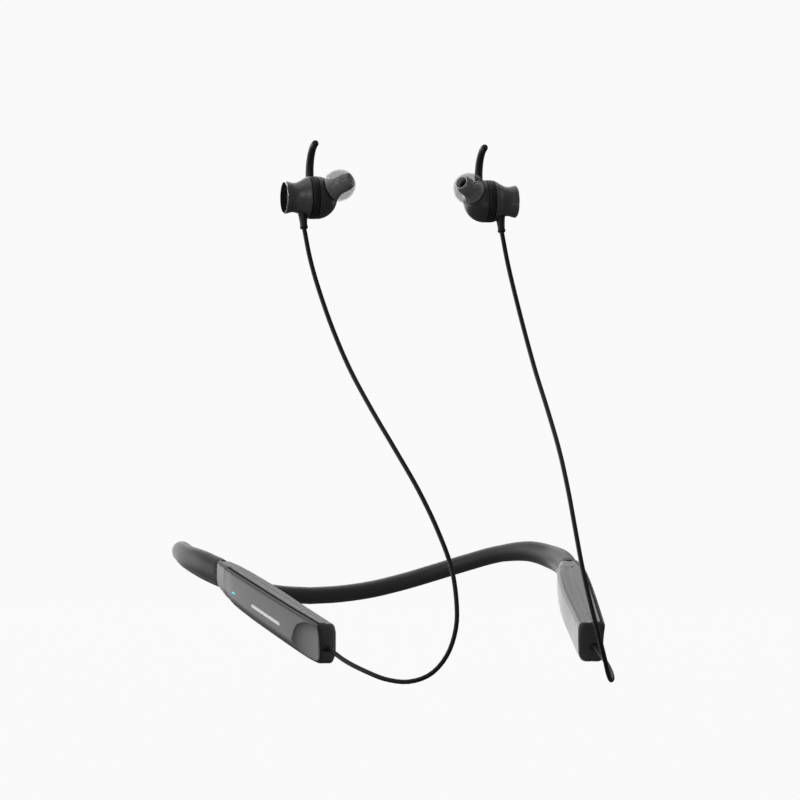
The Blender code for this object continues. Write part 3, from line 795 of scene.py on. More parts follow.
@dataclass
class Band:
    """The round silicone band, made in two halves that flare towards the pods past their flex
    point.

    A share is how far along the arm a section lies, from the flex point at 0 to the pod at 1.
    """

    radius: float = 3.2
    end_half_width: float = 4.1
    end_rise: float = 4.75
    end_drop: float = 5.9
    nape_sag: float = 1.1
    stations: int = 150
    fine_points: int = 400
    sides: int = 48
    bend_reach: float = 9.0
    short_of_pod: float = 0.05
    flare_from: float = 0.25
    flare_power: float = 0.9
    sag_fades: Pair = (0.15, 0.62)
    faces_pod_from: float = 0.82
    upright_from: float = 0.7
    end_inset: float = 0.25
    near_end_inset: float = 0.07
    near_end_back: float = 0.1

    def centre_line(self) -> tuple[list[Vector], float]:
        """Lays the right half's middle line, and finds how far along it the flex point lies."""
        fine = smooth_line(BAND_ROUTE, self.fine_points)
        hinge = Vector(BAND_ROUTE[FLEX_POINT])
        split = min(range(len(fine)), key=lambda i: (fine[i] - hinge).length)
        line = spaced(fine, self.stations)
        line[-1] = line[-1] + (line[-2] - line[-1]).normalized() * self.short_of_pod
        return line, split / (len(fine) - 1)

    def half_rings(self) -> list[list[Point]]:
        """Sections of the right half, from the nape's middle to the pod.

        Returns:
            One ring of points for each station.
        """
        line, flex_share = self.centre_line()
        last = len(line) - 1
        rings = []
        for i, point in enumerate(line):
            before = Vector((-line[1].x, line[1].y, line[1].z)) if i == 0 else line[i - 1]
            tangent = (line[min(i + 1, last)] - before).normalized()
            share = max(0.0, (i / last - flex_share) / (1 - flex_share))
            faces_pod = ease(share, self.faces_pod_from, 1.0)
            tangent = tangent.lerp(Pod.heading(), faces_pod).normalized()
            across = tangent.cross(Vector((0, 0, 1))).normalized()
            upright = ease(share, self.upright_from, 1.0)
            up = across.cross(tangent).lerp(Vector((0, 0, 1)), upright)
            flare = max(0.0, (share - self.flare_from) / (1 - self.flare_from)) ** self.flare_power
            width, rise, drop = (
                self.radius + (end - self.radius) * flare
                for end in (self.end_half_width, self.end_rise, self.end_drop)
            )
            middle = point - Vector((0, 0, self.nape_sag * (1 - ease(share, *self.sag_fades))))
            ring = []
            for k in range(self.sides):
                angle = FULL_TURN * k / self.sides
                height = rise if angle <= math.pi else drop
                outward = across * width * math.cos(angle)
                ring.append(middle + outward + up * height * math.sin(angle))
            rings.append(ring)
        rings[-1] = self.shrunk(rings[-1], self.end_inset, 0.0)
        rings[-2] = self.shrunk(rings[-1], self.near_end_inset, self.near_end_back)
        return rings

    def build(self, paint: Paint) -> None:
        """Builds both halves, the left one mirrored from the right."""
        half = Bench.skinned("band_half", self.half_rings())
        for side in Side:
            name = f"{side.word}_band"
            piece = Bench.copy(half, name)
            Bench.place(piece, name, Matrix.Scale(MM, 4) @ side.mirror, paint["band"])
            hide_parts("nape_sleeve", f"{side.word}_arm_sleeve")
            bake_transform(piece)
        bpy.data.objects.remove(half)

    @staticmethod
    def shrunk(ring: Sequence[Point], inset: float, back: float) -> list[Point]:
        """Draws a ring in towards its middle and back along the pod's heading."""
        middle = sum((Vector(point) for point in ring), Vector()) / len(ring)
        shift = Pod.heading() * back
        return [point + (middle - point).normalized() * inset - shift for point in ring]


# ---------------------------------------------------------------- pods
# A pod's own frame starts at its rear face: X outward, -Y forward, and its sections stand upright.


POD_REAR = Vector((72.2, -67.8, 8.0))
POD_FRONT = Vector((54.8, -116.2, -17.2))
POD_RUN = (POD_FRONT - POD_REAR).xy.length
POD_TOE_IN = math.atan2(POD_REAR.x - POD_FRONT.x, POD_REAR.y - POD_FRONT.y)
POD_DROP = (POD_REAR.z - POD_FRONT.z) / POD_RUN
POD_WALL = 1.1
SEAM = 0.13
CAP_REBATE = 0.8
COVER_FRONT = POD_RUN - CAP_REBATE + 0.06
FACE_CROWN = 0.10
REAR_INSETS = {0.3: 0.16, 0.36: 0.07}
FRONT_ROUNDING = 0.1
FORWARD = Matrix.Rotation(-math.pi / 2, 4, "Z")


@dataclass(frozen=True)
class Station:
    """The size of a pod's section at one distance from its rear face."""

    along: float
    outer: float
    inner: float
    top: float
    bottom: float

    def mixed(self, other: "Station", share: float) -> "Station":
        """The section part of the way to another."""
        mine = (self.along, self.outer, self.inner, self.top, self.bottom)
        theirs = (other.along, other.outer, other.inner, other.top, other.bottom)
        return Station(*(a + (b - a) * share for a, b in zip(mine, theirs)))


POD_STATIONS = [
    Station(0.3, 4.1, 4.1, 4.6, -6.0),
    Station(2.5, 4.62, 4.8, 4.8, -6.5),
    Station(4.6, 5.05, 5.35, 5.0, -7.0),
    Station(9.0, 5.4, 6.0, 5.2, -8.0),
    Station(17.0, 5.6, 6.5, 5.5, -8.55),
    Station(26.0, 5.6, 6.4, 5.8, -8.8),
    Station(36.0, 5.5, 5.75, 6.1, -9.0),
    Station(45.0, 5.3, 5.3, 6.5, -9.0),
    Station(49.5, 5.2, 5.05, 6.7, -8.5),
    Station(POD_RUN, 5.1, 5.0, 6.8, -7.7),
]
BUTTON_AT = {"volume_up": 14.0, "power": 23.0, "volume_down": 32.0}
BUTTON_HEIGHT = -1.6
BUTTON_SIZE = (6.4, 4.0)
BUTTON_PROUD = 0.5
PORT_AT = (27.0, -3.0)
PORT_SIZE = (9.0, 3.2)
LED_AT = (9.8, -2.7)
LED_RADIUS = 0.7
LED_STRETCH = Matrix.Diagonal((1.0, 1.2, 0.62, 1.0))
LED_SIDES = 48
GLAND_AT = (0.6, -2.0)
GLAND_RADIUS = 1.5
CABLE_RADIUS = 0.85
CAP_CROWN = (
    (0.74, 1.0),
    (0.62, 1.0),
    (0.44, 0.99),
    (0.26, 0.965),
    (0.12, 0.92),
    (0.02, 0.85),
    (-0.08, 0.7),
    (-0.16, 0.45),
    (-0.2, 0.2),
)
RAIL_SPOTS = (
    *(0.03, 0.1, 0.22, 0.4, 0.7, 1.1, 1.5, 1.9, 2.3, 2.6, 2.9, 3.2),
    *(3.5, 3.7, 3.9, 4.2, 4.6, 5.1, 5.7, 6.3, 6.8),
)
RAIL_SPAN = 7.1
# Outline of the dark strip in the crease, which is painted shade where the groove falls into
# shadow.
CREASE_SHADE_OUTLINE = (
    (0.01, -1.3),
    (0.01, -0.2),
    (0.06, -0.13),
    (0.3, -0.17),
    (0.55, -0.32),
    (0.74, -0.52),
    (0.8, -0.62),
    (0.74, -1.3),
)


def arc(centre: Pair, radius: float, start: float, end: float, steps: int) -> list[Pair]:
    """Points on an arc from start to end degrees, both ends included."""
    points = []
    for i in range(steps + 1):
        angle = math.radians(start + (end - start) * i / steps)
        x, y = centre[0] + radius * math.cos(angle), centre[1] + radius * math.sin(angle)
        points.append((x, y))
    return points


def rod(near: float, far: float, radius: float) -> list[Pair]:
    """A plain rod's outline for the lathe, closed on the axis."""
    return [(near, 0.0), (near, radius), (far, radius), (far, 0.0)]


QUARTER = arc((0.0, 0.0), 1.0, 0, -90, 12)


@dataclass
class Pod:
    """A satin pod: outer cover, inner cover with a raised rail on top, end cap and cable gland."""

    side: Side
    top_corner: float = 2.2
    bottom_corner: float = 2.8
    bottom_rise: float = 4.4
    lip_from: Pair = (78.0, 50.0)
    seam_inner: Pair = (0.17, 0.45)
    flank_steps: int = 12
    rail_height: float = 0.34
    rail_start: float = 5.4
    rail_half: float = 1.8
    valley_depth: float = 0.2
    slit_depth: float = 0.9
    scoop_at: Point = (5.65, 52.2, -5.6)
    scoop_size: Point = (1.55, 13.4, 12.0)
    pieces: list[str] = field(default_factory=list)

    @staticmethod
    def heading() -> Vector:
        """The level direction in which the right pod points."""
        return Vector((-math.sin(POD_TOE_IN), -math.cos(POD_TOE_IN), 0.0))

    @property
    def body(self) -> str:
        """The CAD body that carries this pod."""
        return f"{self.side.word}_arm"

    @property
    def matrix(self) -> Matrix:
        """From the pod's upright frame to the row frame, with the downhill run."""
        downhill = Matrix.Identity(4)
        downhill[2][1] = POD_DROP
        turn = Matrix.Rotation(-POD_TOE_IN, 4, "Z")
        frame_at = Matrix.Translation(POD_REAR)
        return self.side.mirror @ Matrix.Scale(MM, 4) @ frame_at @ turn @ downhill

    @staticmethod
    def station(along: float) -> Station:
        """Reads the section at a distance: straight on the rear chamfer, smooth after it."""
        index = bisect.bisect_right([s.along for s in POD_STATIONS], along) - 1
        index = min(max(index, 0), len(POD_STATIONS) - 2)
        a, b = POD_STATIONS[index], POD_STATIONS[index + 1]
        share = (along - a.along) / (b.along - a.along)
        if index < 2:
            return a.mixed(b, share)
        before = POD_STATIONS[index - 1] if index > 2 else a
        after = POD_STATIONS[min(index + 2, len(POD_STATIONS) - 1)]
        sizes = []
        for key in ("outer", "inner", "top", "bottom"):
            values = [getattr(item, key) for item in (before, a, b, after)]
            sizes.append(curve_value(*values, share))
        return Station(along, *sizes)

    @staticmethod
    def stops() -> list[float]:
        """Distances of the covers' sections, closer together where the shape turns."""
        stops = [0.3, 0.36, 0.5]
        stops += [0.9 + 0.4 * i for i in range(9)]
        stops += [4.35, 4.5, 4.6, 4.7, 4.85]
        stops += [5.0 + 0.12 * i for i in range(27)]
        stops += [8.3 + 0.75 * i for i in range(56)]
        stops = [stop for stop in stops if stop < COVER_FRONT - 1.1]
        return stops + [COVER_FRONT - b for b in (0.85, 0.79, 0.6, 0.4, 0.22, 0.1, 0.03, 0.0)]

    @staticmethod
    def end_inset(along: float) -> float:
        """How far the skin draws in to round the rear and front edges."""
        rear = REAR_INSETS.get(along, 0.0)
        back = COVER_FRONT - along
        if back >= FRONT_ROUNDING:
            return rear
        return rear + FRONT_ROUNDING - math.sqrt(max(0.0, 0.01 - (FRONT_ROUNDING - back) ** 2))

    @staticmethod
    def parting(along: float) -> float:
        """How far the hairline between the covers has opened into the crease."""
        return ease(along, 3.4, 6.4)

    def seam_edge(self, along: float) -> float:
        """How far outside the top corner's centre the inner cover ends."""
        rear, front = self.seam_inner
        return rear + (front - rear) * self.parting(along)

    def flank(self, wide: float, shoulder: float, low: float) -> list[Pair]:
        """A cover's crowned side face and rounded bottom edge, from the shoulder to the seam.

        Args:
            wide: how far out the face stands.
            shoulder: the height at which the face starts.
            low: the bottom's height.

        Returns:
            (across, up) points for a cover that faces outwards.
        """
        rise = low + self.bottom_rise
        skin = []
        for i in range(1, self.flank_steps):
            t = i / self.flank_steps
            out = wide + FACE_CROWN * math.sin(math.pi * t)
            skin.append((out, shoulder + (rise - shoulder) * t))
        for x, z in QUARTER:
            skin.append((wide - self.bottom_corner * (1 - x), rise + self.bottom_rise * z))
        return skin + [(0.6, low), (SEAM + 0.1, low + 0.01), (SEAM, low + 0.12)]

    def outer_section(self, along: float) -> list[Pair]:
        """The outer cover's section: crease lip, outer face, bottom edge and the wall's inside."""
        s = self.station(along)
        inset = self.end_inset(along)
        wide, high, low = s.outer - inset, s.top - inset, s.bottom + inset
        corner = (wide - self.top_corner, high - self.top_corner)
        rear, front = self.lip_from
        lip = arc(corner, self.top_corner, rear + (front - rear) * self.parting(along), 0, 11)
        x, y = lip[0]
        skin = [(x - 0.23, high - 1.4), (x - 0.21, y - 0.22), (x - 0.13, y - 0.06), *lip]
        skin += self.flank(wide, corner[1], low)
        wall = wide - (POD_WALL + 0.9 * ease(along, 34.0, 40.0))
        floor = low + POD_WALL
        inside = [(SEAM, floor), (wall - 2.0, floor), (wall - 0.8, floor + 1.2)]
        inside += [(wall, floor + 3.4), (wall, corner[1]), (wall - 0.3, high - 1.8)]
        return skin + inside

    def inner_section(self, along: float) -> list[Pair]:
        """The inner cover's section: crease lip, top rail, valley, inner face, wall's inside."""
        s = self.station(along)
        inset = self.end_inset(along)
        wide, high, low = s.inner - inset, s.top - inset, s.bottom + inset
        crease = s.outer - inset - self.top_corner + self.seam_edge(along)
        scale = (crease + wide - self.top_corner) / RAIL_SPAN
        skin = [(crease, high - 1.3), (crease, high - 0.6)]
        for spot in RAIL_SPOTS:
            round_off = 0.3 * (1 - math.sin(math.pi / 2 * min(1.0, spot / 0.6)))
            hollow = math.sin(math.pi * ease(spot, 3.5, RAIL_SPAN))
            dish = self.valley_depth * hollow * ease(along, 4.6, 9.0)
            top = high - self.rail_drop(spot, along) - round_off - dish
            skin.append((crease - spot * scale, top))
        shoulder = high - self.rail_height - self.top_corner
        skin += arc((-wide + self.top_corner, shoulder), self.top_corner, 90, 180, 9)
        skin += [(-x, y) for x, y in self.flank(wide, shoulder, low)]
        wall, floor, roof = wide - POD_WALL, low + POD_WALL, high - POD_WALL - 0.5
        inside = [(-SEAM, floor), (-wall + 2.2, floor), (-wall + 0.8, floor + 1.2)]
        inside += [(-wall, floor + 3.4), (-wall, shoulder), (-wall + 0.7, roof - 0.7)]
        inside += [(-wall + 2.0, roof), (crease - 1.2, roof)]
        return skin + inside

    def seam_section(self, along: float) -> list[Pair]:
        """The dark strip's section: painted shade that fills the crease between the two covers."""
        s = self.station(along)
        inset = self.end_inset(along)
        left = s.outer - inset - self.top_corner + self.seam_edge(along)
        high = s.top - inset - 0.8 * (1 - self.parting(along))
        return [(left + x, high + y) for x, y in CREASE_SHADE_OUTLINE]


    def rail_drop(self, spot: float, along: float) -> float:
        """How far the top lies below the rail's own height, with the slit round its rear end.

        Args:
            spot: the distance across from the crease.
            along: the distance from the pod's rear face.

        Returns:
            The drop.
        """
        half, height = self.rail_half, self.rail_height
        behind = self.rail_start + half - along
        if behind > 0:
            reach = math.hypot(behind, spot - half)
            stands = 1 - ease(reach, half - 0.16, half + 0.12)
            across = (reach - half - 0.12) / 0.14
            slit = self.slit_depth * math.exp(-(across**2)) * ease(behind, 0.5, 1.1)
            return height * (1 - stands) + slit
        soft = ease(-behind, 0.0, 6.0)
        return height * ease(spot, 2 * half - 0.16 - 0.5 * soft, 2 * half + 0.12 + 0.8 * soft)

    def skin(self, section: Callable[[float], list[Pair]], name: str) -> Model:
        """Skins one of the covers, or the strip between them, along the pod."""
        rings = [[(q, -along, z) for q, z in section(along)] for along in self.stops()]
        return Bench.skinned(name, rings)

    def finish(
        self,
        obj: Model,
        name: str,
        finish: str,
        paint: Paint,
        nodes: Sequence[str] = (),
    ) -> None:
        """Puts a piece in place on this pod's body and says which CAD nodes it stands for."""
        Bench.place(obj, name, self.matrix, paint[finish])
        if nodes:
            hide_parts(*nodes)
        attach(obj, self.body)
        self.pieces.append(name)

    def scoop(self) -> Model:
        """The shallow thumb scoop's cutter: a flattened ball beside the outer face."""
        Bench.clear()
        out, along, up = self.scoop_at
        bpy.ops.mesh.primitive_uv_sphere_add(
            segments=96, ring_count=48, radius=1.0, location=(0, 0, 0)
        )
        ball = bpy.context.object
        shape = Matrix.Diagonal((*self.scoop_size, 1.0))
        ball.data.transform(Matrix.Translation((out, -along, up)) @ shape)
        return ball

    @property
    def cap_reach(self) -> tuple[float, float, float, float]:
        """How far the cap reaches out, in, up and down, just inside the covers' front edges."""
        s = self.station(POD_RUN)
        return s.outer - 0.1, s.inner - 0.05, s.top - 0.42, s.bottom + 0.1

    def cap_outline(self) -> list[Pair]:
        """The cap's edge seen from the front: rounder inside and below than outside."""
        wide, narrow, high, low = self.cap_reach
        outline = [(0.0, high), *arc((wide - 1.7, high - 1.7), 1.7, 90, 0, 9)]
        outline += [(wide, 0.0), (wide, -1.5)]
        for x, z in arc((0.0, 0.0), 1.0, 0, -90, 10):
            outline.append((wide - 2.6 * (1 - x), low + 4.2 + 4.2 * z))
        outline += [(0.4, low), (-0.5, low)]
        for x, z in arc((0.0, 0.0), 1.0, -90, 0, 10):
            outline.append((-narrow + 3.6 * (1 - x), low + 4.6 * (1 + z)))
        outline += [(-narrow, -1.0), (-narrow, 1.0)]
        return outline + arc((-narrow + 3.1, high - 3.1), 3.1, 180, 90, 9)

    def build_cap(self) -> Model:
        """Builds the crowned end cap, scooped with the outer cover, with the cable's hole."""
        wide, narrow, high, low = self.cap_reach
        x, y = (wide - narrow) / 2, (high + low) / 2
        from_middle = [(q - x, z - y) for q, z in self.cap_outline()]
        rings = []
        for back, scale in CAP_CROWN:
            rings.append([(x + q * scale, back - POD_RUN, y + z * scale) for q, z in from_middle])
        cap = Bench.skinned("end_cap", rings)
        Bench.combine(cap, self.scoop(), "DIFFERENCE")
        across, up = GLAND_AT
        place = Matrix.Translation((across, -POD_RUN, up)) @ FORWARD
        hole = Bench.turned("gland_hole", rod(-8, 4, GLAND_RADIUS), 64, place)
        return Bench.combine(cap, hole, "DIFFERENCE")

    @staticmethod
    def build_gland() -> Model:
        """Turns the rubber bush round the cable, just proud of the cap."""
        bore = CABLE_RADIUS + 0.1
        neck = GLAND_RADIUS - 0.08
        lip, nose = POD_RUN + 0.42, POD_RUN + 1.15
        profile = [(lip - 3.6, bore), (lip - 3.6, neck), (lip - 0.2, neck)]
        profile += [(lip - 0.08, neck - 0.05), (lip, neck - 0.2)]
        profile += [(lip + 0.04, bore + 0.26), (lip + 0.14, bore + 0.19)]
        profile += [(nose - 0.1, bore + 0.15), (nose, bore + 0.08), (nose, bore)]
        across, up = GLAND_AT
        upright = Matrix.Identity(4)
        upright[2][1] = -POD_DROP
        shift = Matrix.Translation((across, 0, up - POD_RUN * POD_DROP))
        return Bench.turned("gland", profile, 64, upright @ shift @ FORWARD)

    def build(self, paint: Paint) -> None:
        """Builds the pod and then what only this side has."""
        word = self.side.word
        outer = self.skin(self.outer_section, "outer_cover")
        Bench.combine(outer, self.scoop(), "DIFFERENCE")
        inner = self.skin(self.inner_section, "inner_cover")
        self.cut_openings(outer, inner)
        self.finish(outer, f"{word}_pod_outer_cover", "shell", paint, [f"{word}_outer_shell"])
        self.finish(inner, f"{word}_pod_inner_cover", "shell", paint, [f"{word}_inner_shell"])
        # The dark strip is painted shade in the crease between the two covers.
        seam = self.skin(self.seam_section, "seam")
        self.finish(seam, f"{word}_pod_seam", "seam", paint)
        self.finish(self.build_cap(), f"{word}_pod_cap", "cap", paint, [f"{word}_end_cap"])
        gland = self.build_gland()
        self.finish(gland, f"{word}_pod_gland", "rubber", paint, [f"{word}_cable_gland"])
        self.build_extras(paint)
        log.info("%s pod: %s", word, ", ".join(self.pieces))

    def cut_openings(self, outer: Model, inner: Model) -> None:
        """Cuts the openings that only this side has."""

    def build_extras(self, paint: Paint) -> None:
        """Builds the pieces that only this side has."""


@dataclass
class LeftPod(Pod):
    """The left pod, with the status light and a plain pale mark on its outer face."""

    mark_from: float = 19.0
    mark_to: float = 33.0
    mark_height: float = -2.6
    mark_radius: float = 0.62
    mark_layers: tuple[Pair, ...] = ((-0.3, 1.0), (0.02, 1.0), (0.045, 0.96))

    @property
    def light_place(self) -> Matrix:
        """From the lathe's axis to the status light's place, flattened to its oval."""
        along, up = LED_AT
        return Matrix.Translation((0, -along, up)) @ LED_STRETCH

    def cut_openings(self, outer: Model, inner: Model) -> None:
        """Cuts the light's oval hole."""
        profile = rod(2, 8, LED_RADIUS + 0.08)
        hole = Bench.turned("led_hole", profile, LED_SIDES, self.light_place)
        Bench.combine(outer, hole, "DIFFERENCE")

    def build_extras(self, paint: Paint) -> None:
        """Builds the light's window and the mark."""
        radius = LED_RADIUS
        profile = [(3.0, 0), (3.0, radius), (5.28, radius)]
        profile += [(5.36, radius - 0.05), (5.41, radius - 0.2), (5.44, 0)]
        window = Bench.turned("window", profile, LED_SIDES, self.light_place)
        self.finish(window, "status_light", "light", paint, ["led_light_pipe"])
        self.finish(self.build_mark(), "left_pod_mark", "mark", paint)

    def build_mark(self) -> Model:
        """Builds a plain pill-shaped inlay that follows the outer face."""
        radius, steps = self.mark_radius, 16
        rear, front = self.mark_from + radius, self.mark_to - radius
        run = self.mark_to - self.mark_from - 2 * radius
        outline = arc((rear, 0.0), radius, 90, 270, 10)
        outline += [(rear + run * i / steps, -radius) for i in range(1, steps)]
        outline += arc((front, 0.0), radius, -90, 90, 10)
        outline += [(front - run * i / steps, radius) for i in range(1, steps)]
        rings = []
        for lift, scale in self.mark_layers:
            ring = []
            for along, up in outline:
                z = self.mark_height + up * scale
                ring.append((self.face_at(along, z) + lift, -along, z))
            rings.append(ring)
        return Bench.skinned("mark", rings)

    def face_at(self, along: float, z: float) -> float:
        """How far out the outer face stands at a place."""
        s = self.station(along)
        high, low = s.top - self.top_corner, s.bottom + self.bottom_rise
        return s.outer + FACE_CROWN * math.sin(math.pi * (high - z) / (high - low))


@dataclass
class RightPod(Pod):
    """The right pod, with three buttons and the charging socket's cover."""

    button_face: float = 5.6
    button_depth: float = 1.9
    button_corner: float = 1.4
    bar: Pair = (1.5, 0.34)
    dot: Pair = (0.7, 0.7)
    floor: float = POD_STATIONS[5].bottom

    def cut_openings(self, outer: Model, inner: Model) -> None:
        """Cuts the button holes and the charging slot."""
        length, height = BUTTON_SIZE
        for along in BUTTON_AT.values():
            hole = self.oblong("hole", (length + 0.3, height + 0.3), (3.2, 8.0), along, 1.5)
            Bench.combine(outer, hole, "DIFFERENCE")
        along, across = PORT_AT
        length, width = PORT_SIZE
        size = (width - 0.2, length - 0.2, 4.0)
        slot = Bench.block("slot", size, (across, -along, self.floor + 0.4), 0.4, 4)
        Bench.combine(inner, slot, "DIFFERENCE")

    @staticmethod
    def oblong(name: str, size: Pair, reach: Pair, along: float, rounding: float) -> Model:
        """Builds a block across the pod with rounded upright corners.

        Args:
            name: the new object's name.
            size: its length along the pod and its height.
            reach: how far out it starts and ends.
            along: its middle's distance from the pod's rear face.
            rounding: the radius of its corners.

        Returns:
            The block.
        """
        half, rise = size[0] / 2 - rounding, size[1] / 2 - rounding
        corners = ((half, rise), (-half, rise), (-half, -rise), (half, -rise))
        outline = []
        for quarter, corner in enumerate(corners):
            outline += arc(corner, rounding, 90 * quarter, 90 * quarter + 90, 8)
        rings = [[(out, -along + y, BUTTON_HEIGHT + z) for y, z in outline] for out in reach]
        return Bench.skinned(name, rings)

    def build_button(self, name: str, along: float) -> Model:
        """Builds one soft pad with a rounded edge and a small raised bar, cross or dot."""
        near, far = self.button_face - self.button_depth, self.button_face + BUTTON_PROUD
        pad = self.oblong(name, BUTTON_SIZE, (near, far - 0.12), along, self.button_corner)
        Bench.soften(pad, 0.3, 4, 60.0)
        bars = {
            "volume_up": (self.bar, self.bar[::-1]),
            "volume_down": (self.bar,),
            "power": (self.dot,),
        }
        for long, tall in bars[name]:
            place = (far - 0.3, -along, BUTTON_HEIGHT)
            Bench.combine(pad, Bench.block("bar", (0.6, long, tall), place, 0.1, 2), "UNION")
        return pad

    def build_extras(self, paint: Paint) -> None:
        """Builds the buttons on their own bodies and the socket's cover on its own."""
        for name, along in BUTTON_AT.items():
            pad = self.build_button(name, along)
            Bench.place(pad, f"{name}_pad", self.matrix, paint["rubber"])
            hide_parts(f"{name}_button")
            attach(pad, f"{name}_button")
        along, across = PORT_AT
        length, width = PORT_SIZE
        size = (width - 2 * GAP, length - 2 * GAP, 1.0)
        cover = Bench.block("cover", size, (across, -along, self.floor + 0.7), 0.28, 4)
        thumb = (across, -along - length / 2 + 1.2, self.floor + 0.2)
        Bench.combine(cover, Bench.block("notch", (1.6, 0.5, 0.5), thumb, 0.12, 2), "DIFFERENCE")
        Bench.place(cover, "charging_cover", self.matrix, paint["rubber"])
        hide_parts("usb_cover")
        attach(cover, "usb_cover")


# ---------------------------------------------------------------- cables


CABLE_ROUTE = [
    (55.1, -117.2, -19.2),
    (53.4, -127.6, -23.8),
    (50.4, -137.4, -27.4),
    (46.6, -146.0, -30.2),
    (41.6, -153.8, -31.0),
    (36.6, -160.6, -28.4),
    (32.6, -165.0, -22.4),
    (29.6, -166.2, -14.4),
    (27.7, -164.6, -5.2),
    (26.9, -159.3, 9.1),
    (28.4, -151.1, 23.5),
    (30.9, -141.2, 37.9),
    (33.9, -129.2, 52.4),
    (36.5, -115.9, 67.0),
    (38.5, -102.9, 81.7),
    (39.9, -92.0, 96.5),
    (40.8, -82.6, 111.3),
    (41.2, -76.3, 123.0),
    (41.3, -71.7, 134.4),
]


@dataclass
class Cable:
    """One free cable from a pod's gland to an earbud's strain relief."""

    side: Side
    points: int = 96

    def build(self, paint: Paint) -> None:
        """Lays the cable along its route at its real thickness."""
        line = smooth_line(CABLE_ROUTE, self.points)
        name = f"{self.side.word}_cord"
        curve = bpy.data.curves.new(name, "CURVE")
        curve.dimensions = "3D"
        curve.bevel_depth = CABLE_RADIUS * MM
        curve.bevel_resolution = 6
        curve.use_fill_caps = True
        spline = curve.splines.new("POLY")
        spline.points.add(len(line) - 1)
        for spot, point in zip(spline.points, line):
            spot.co = (self.side.value * point.x * MM, point.y * MM, point.z * MM, 1.0)
        spline.use_smooth = True
        curve.materials.append(paint["cable"])
        cord = bpy.data.objects.new(name, curve)
        bpy.context.scene.collection.objects.link(cord)
        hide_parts(f"{self.side.word}_cable")
        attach(cord, f"{self.side.word}_arm")


# ---------------------------------------------------------------- earbuds
# An earbud's own frame starts at the strain relief's lower end: X outward, Y back, Z up.


RELIEF_END = Vector((41.3, -71.6, 134.7))
EARBUD_TURN = math.radians(-13.4)
BODY_BACK = 3.9
BODY_UP = 10.9
RIM_OUT = 6.6
RELIEF_LEAN = math.radians(20.0)
DOME_AT = 12.1
DOME_RADIUS = 7.9
NOZZLE_HEADING = math.radians(38.0)
NOZZLE_RISE = math.radians(25.0)
NOZZLE_RADIUS = 2.2
NOZZLE_BORE = 1.5
NOZZLE_END = 13.6
SEAT_AT = 6.4
SPIGOT_RADIUS = 6.6
HOOK_BAND = (9.4, 12.1)
TRUMPET = [
    (0.22, 6.02),
    (0.42, 6.02),
    (1.4, 5.82),
    (3.0, 5.45),
    (4.6, 5.65),
    (6.2, 6.35),
    (7.6, 7.2),
    (8.55, 7.66),
]
TRUMPET_LIP = [(8.8, 7.72), (9.0, 7.74), (9.1, 7.66), (9.13, 7.4)]
TRUMPET_INSIDE = [
    *((9.13, 6.0), (6.2, 5.2), (3.4, 4.4), (1.5, 4.7)),
    *((0.62, 5.2), (0.62, 5.92), (0.2, 5.99)),
]
RIM_RING = [
    *((0.03, 5.68), (0.0, 5.71), (0.0, 5.76), (0.22, 6.02)),
    *((0.3, 6.04), (0.4, 6.0), (0.58, 5.9), (0.58, 5.68)),
]
BACK_DISC = [(0.16, 0), (0.15, 2.7), (0.13, 5.3), (0.14, 5.54), (0.2, 5.64), (0.6, 5.64), (0.6, 0)]
CORE_MOUTH = [(14.2, 3.1), (15.1, 2.85), (15.62, 2.6), (15.72, 2.4), (15.6, 2.2), (15.2, 2.1)]
SKIRT_OUTSIDE = [
    *((7.26, 5.12), (8.6, 5.65), (10.7, 5.87), (12.6, 5.5)),
    *((14.2, 4.65), (15.3, 3.6), (15.78, 2.75)),
]
SKIRT_INSIDE = [
    *((15.5, 2.75), (14.9, 3.4), (13.9, 4.3), (12.5, 5.1)),
    *((10.7, 5.5), (8.8, 5.3), (7.42, 4.9)),
]
RELIEF_BORE = [(0.12, 0), (0.1, 0.9), (-0.05, 1.0), (-0.46, 1.0)]
RELIEF_COLLAR = [
    *((-0.53, 1.08), (-0.55, 1.24), (-0.52, 1.38), (-0.42, 1.45), (-0.3, 1.46), (0.3, 1.46)),
    *((0.42, 1.44), (0.52, 1.36), (0.58, 1.22), (0.68, 1.22), (0.74, 1.3)),
]
RELIEF_TAPER = [(0.9, 1.32), (3.5, 1.55), (5.6, 1.85), (7.2, 2.15)]
# The housing and the dome take a lighter and a darker copy of one plastic: painted light and shade.
BUD_FINISHES = {
    "rear_housing": "housing",
    "rim_ring": "steel",
    "back_disc": "disc",
    "front_housing": "dome",
    "nozzle_mesh": "disc",
    "ear_tip": "tip",
    "tip_core": "core",
    "ear_hook": "rubber",
    "strain_relief": "rubber",
}


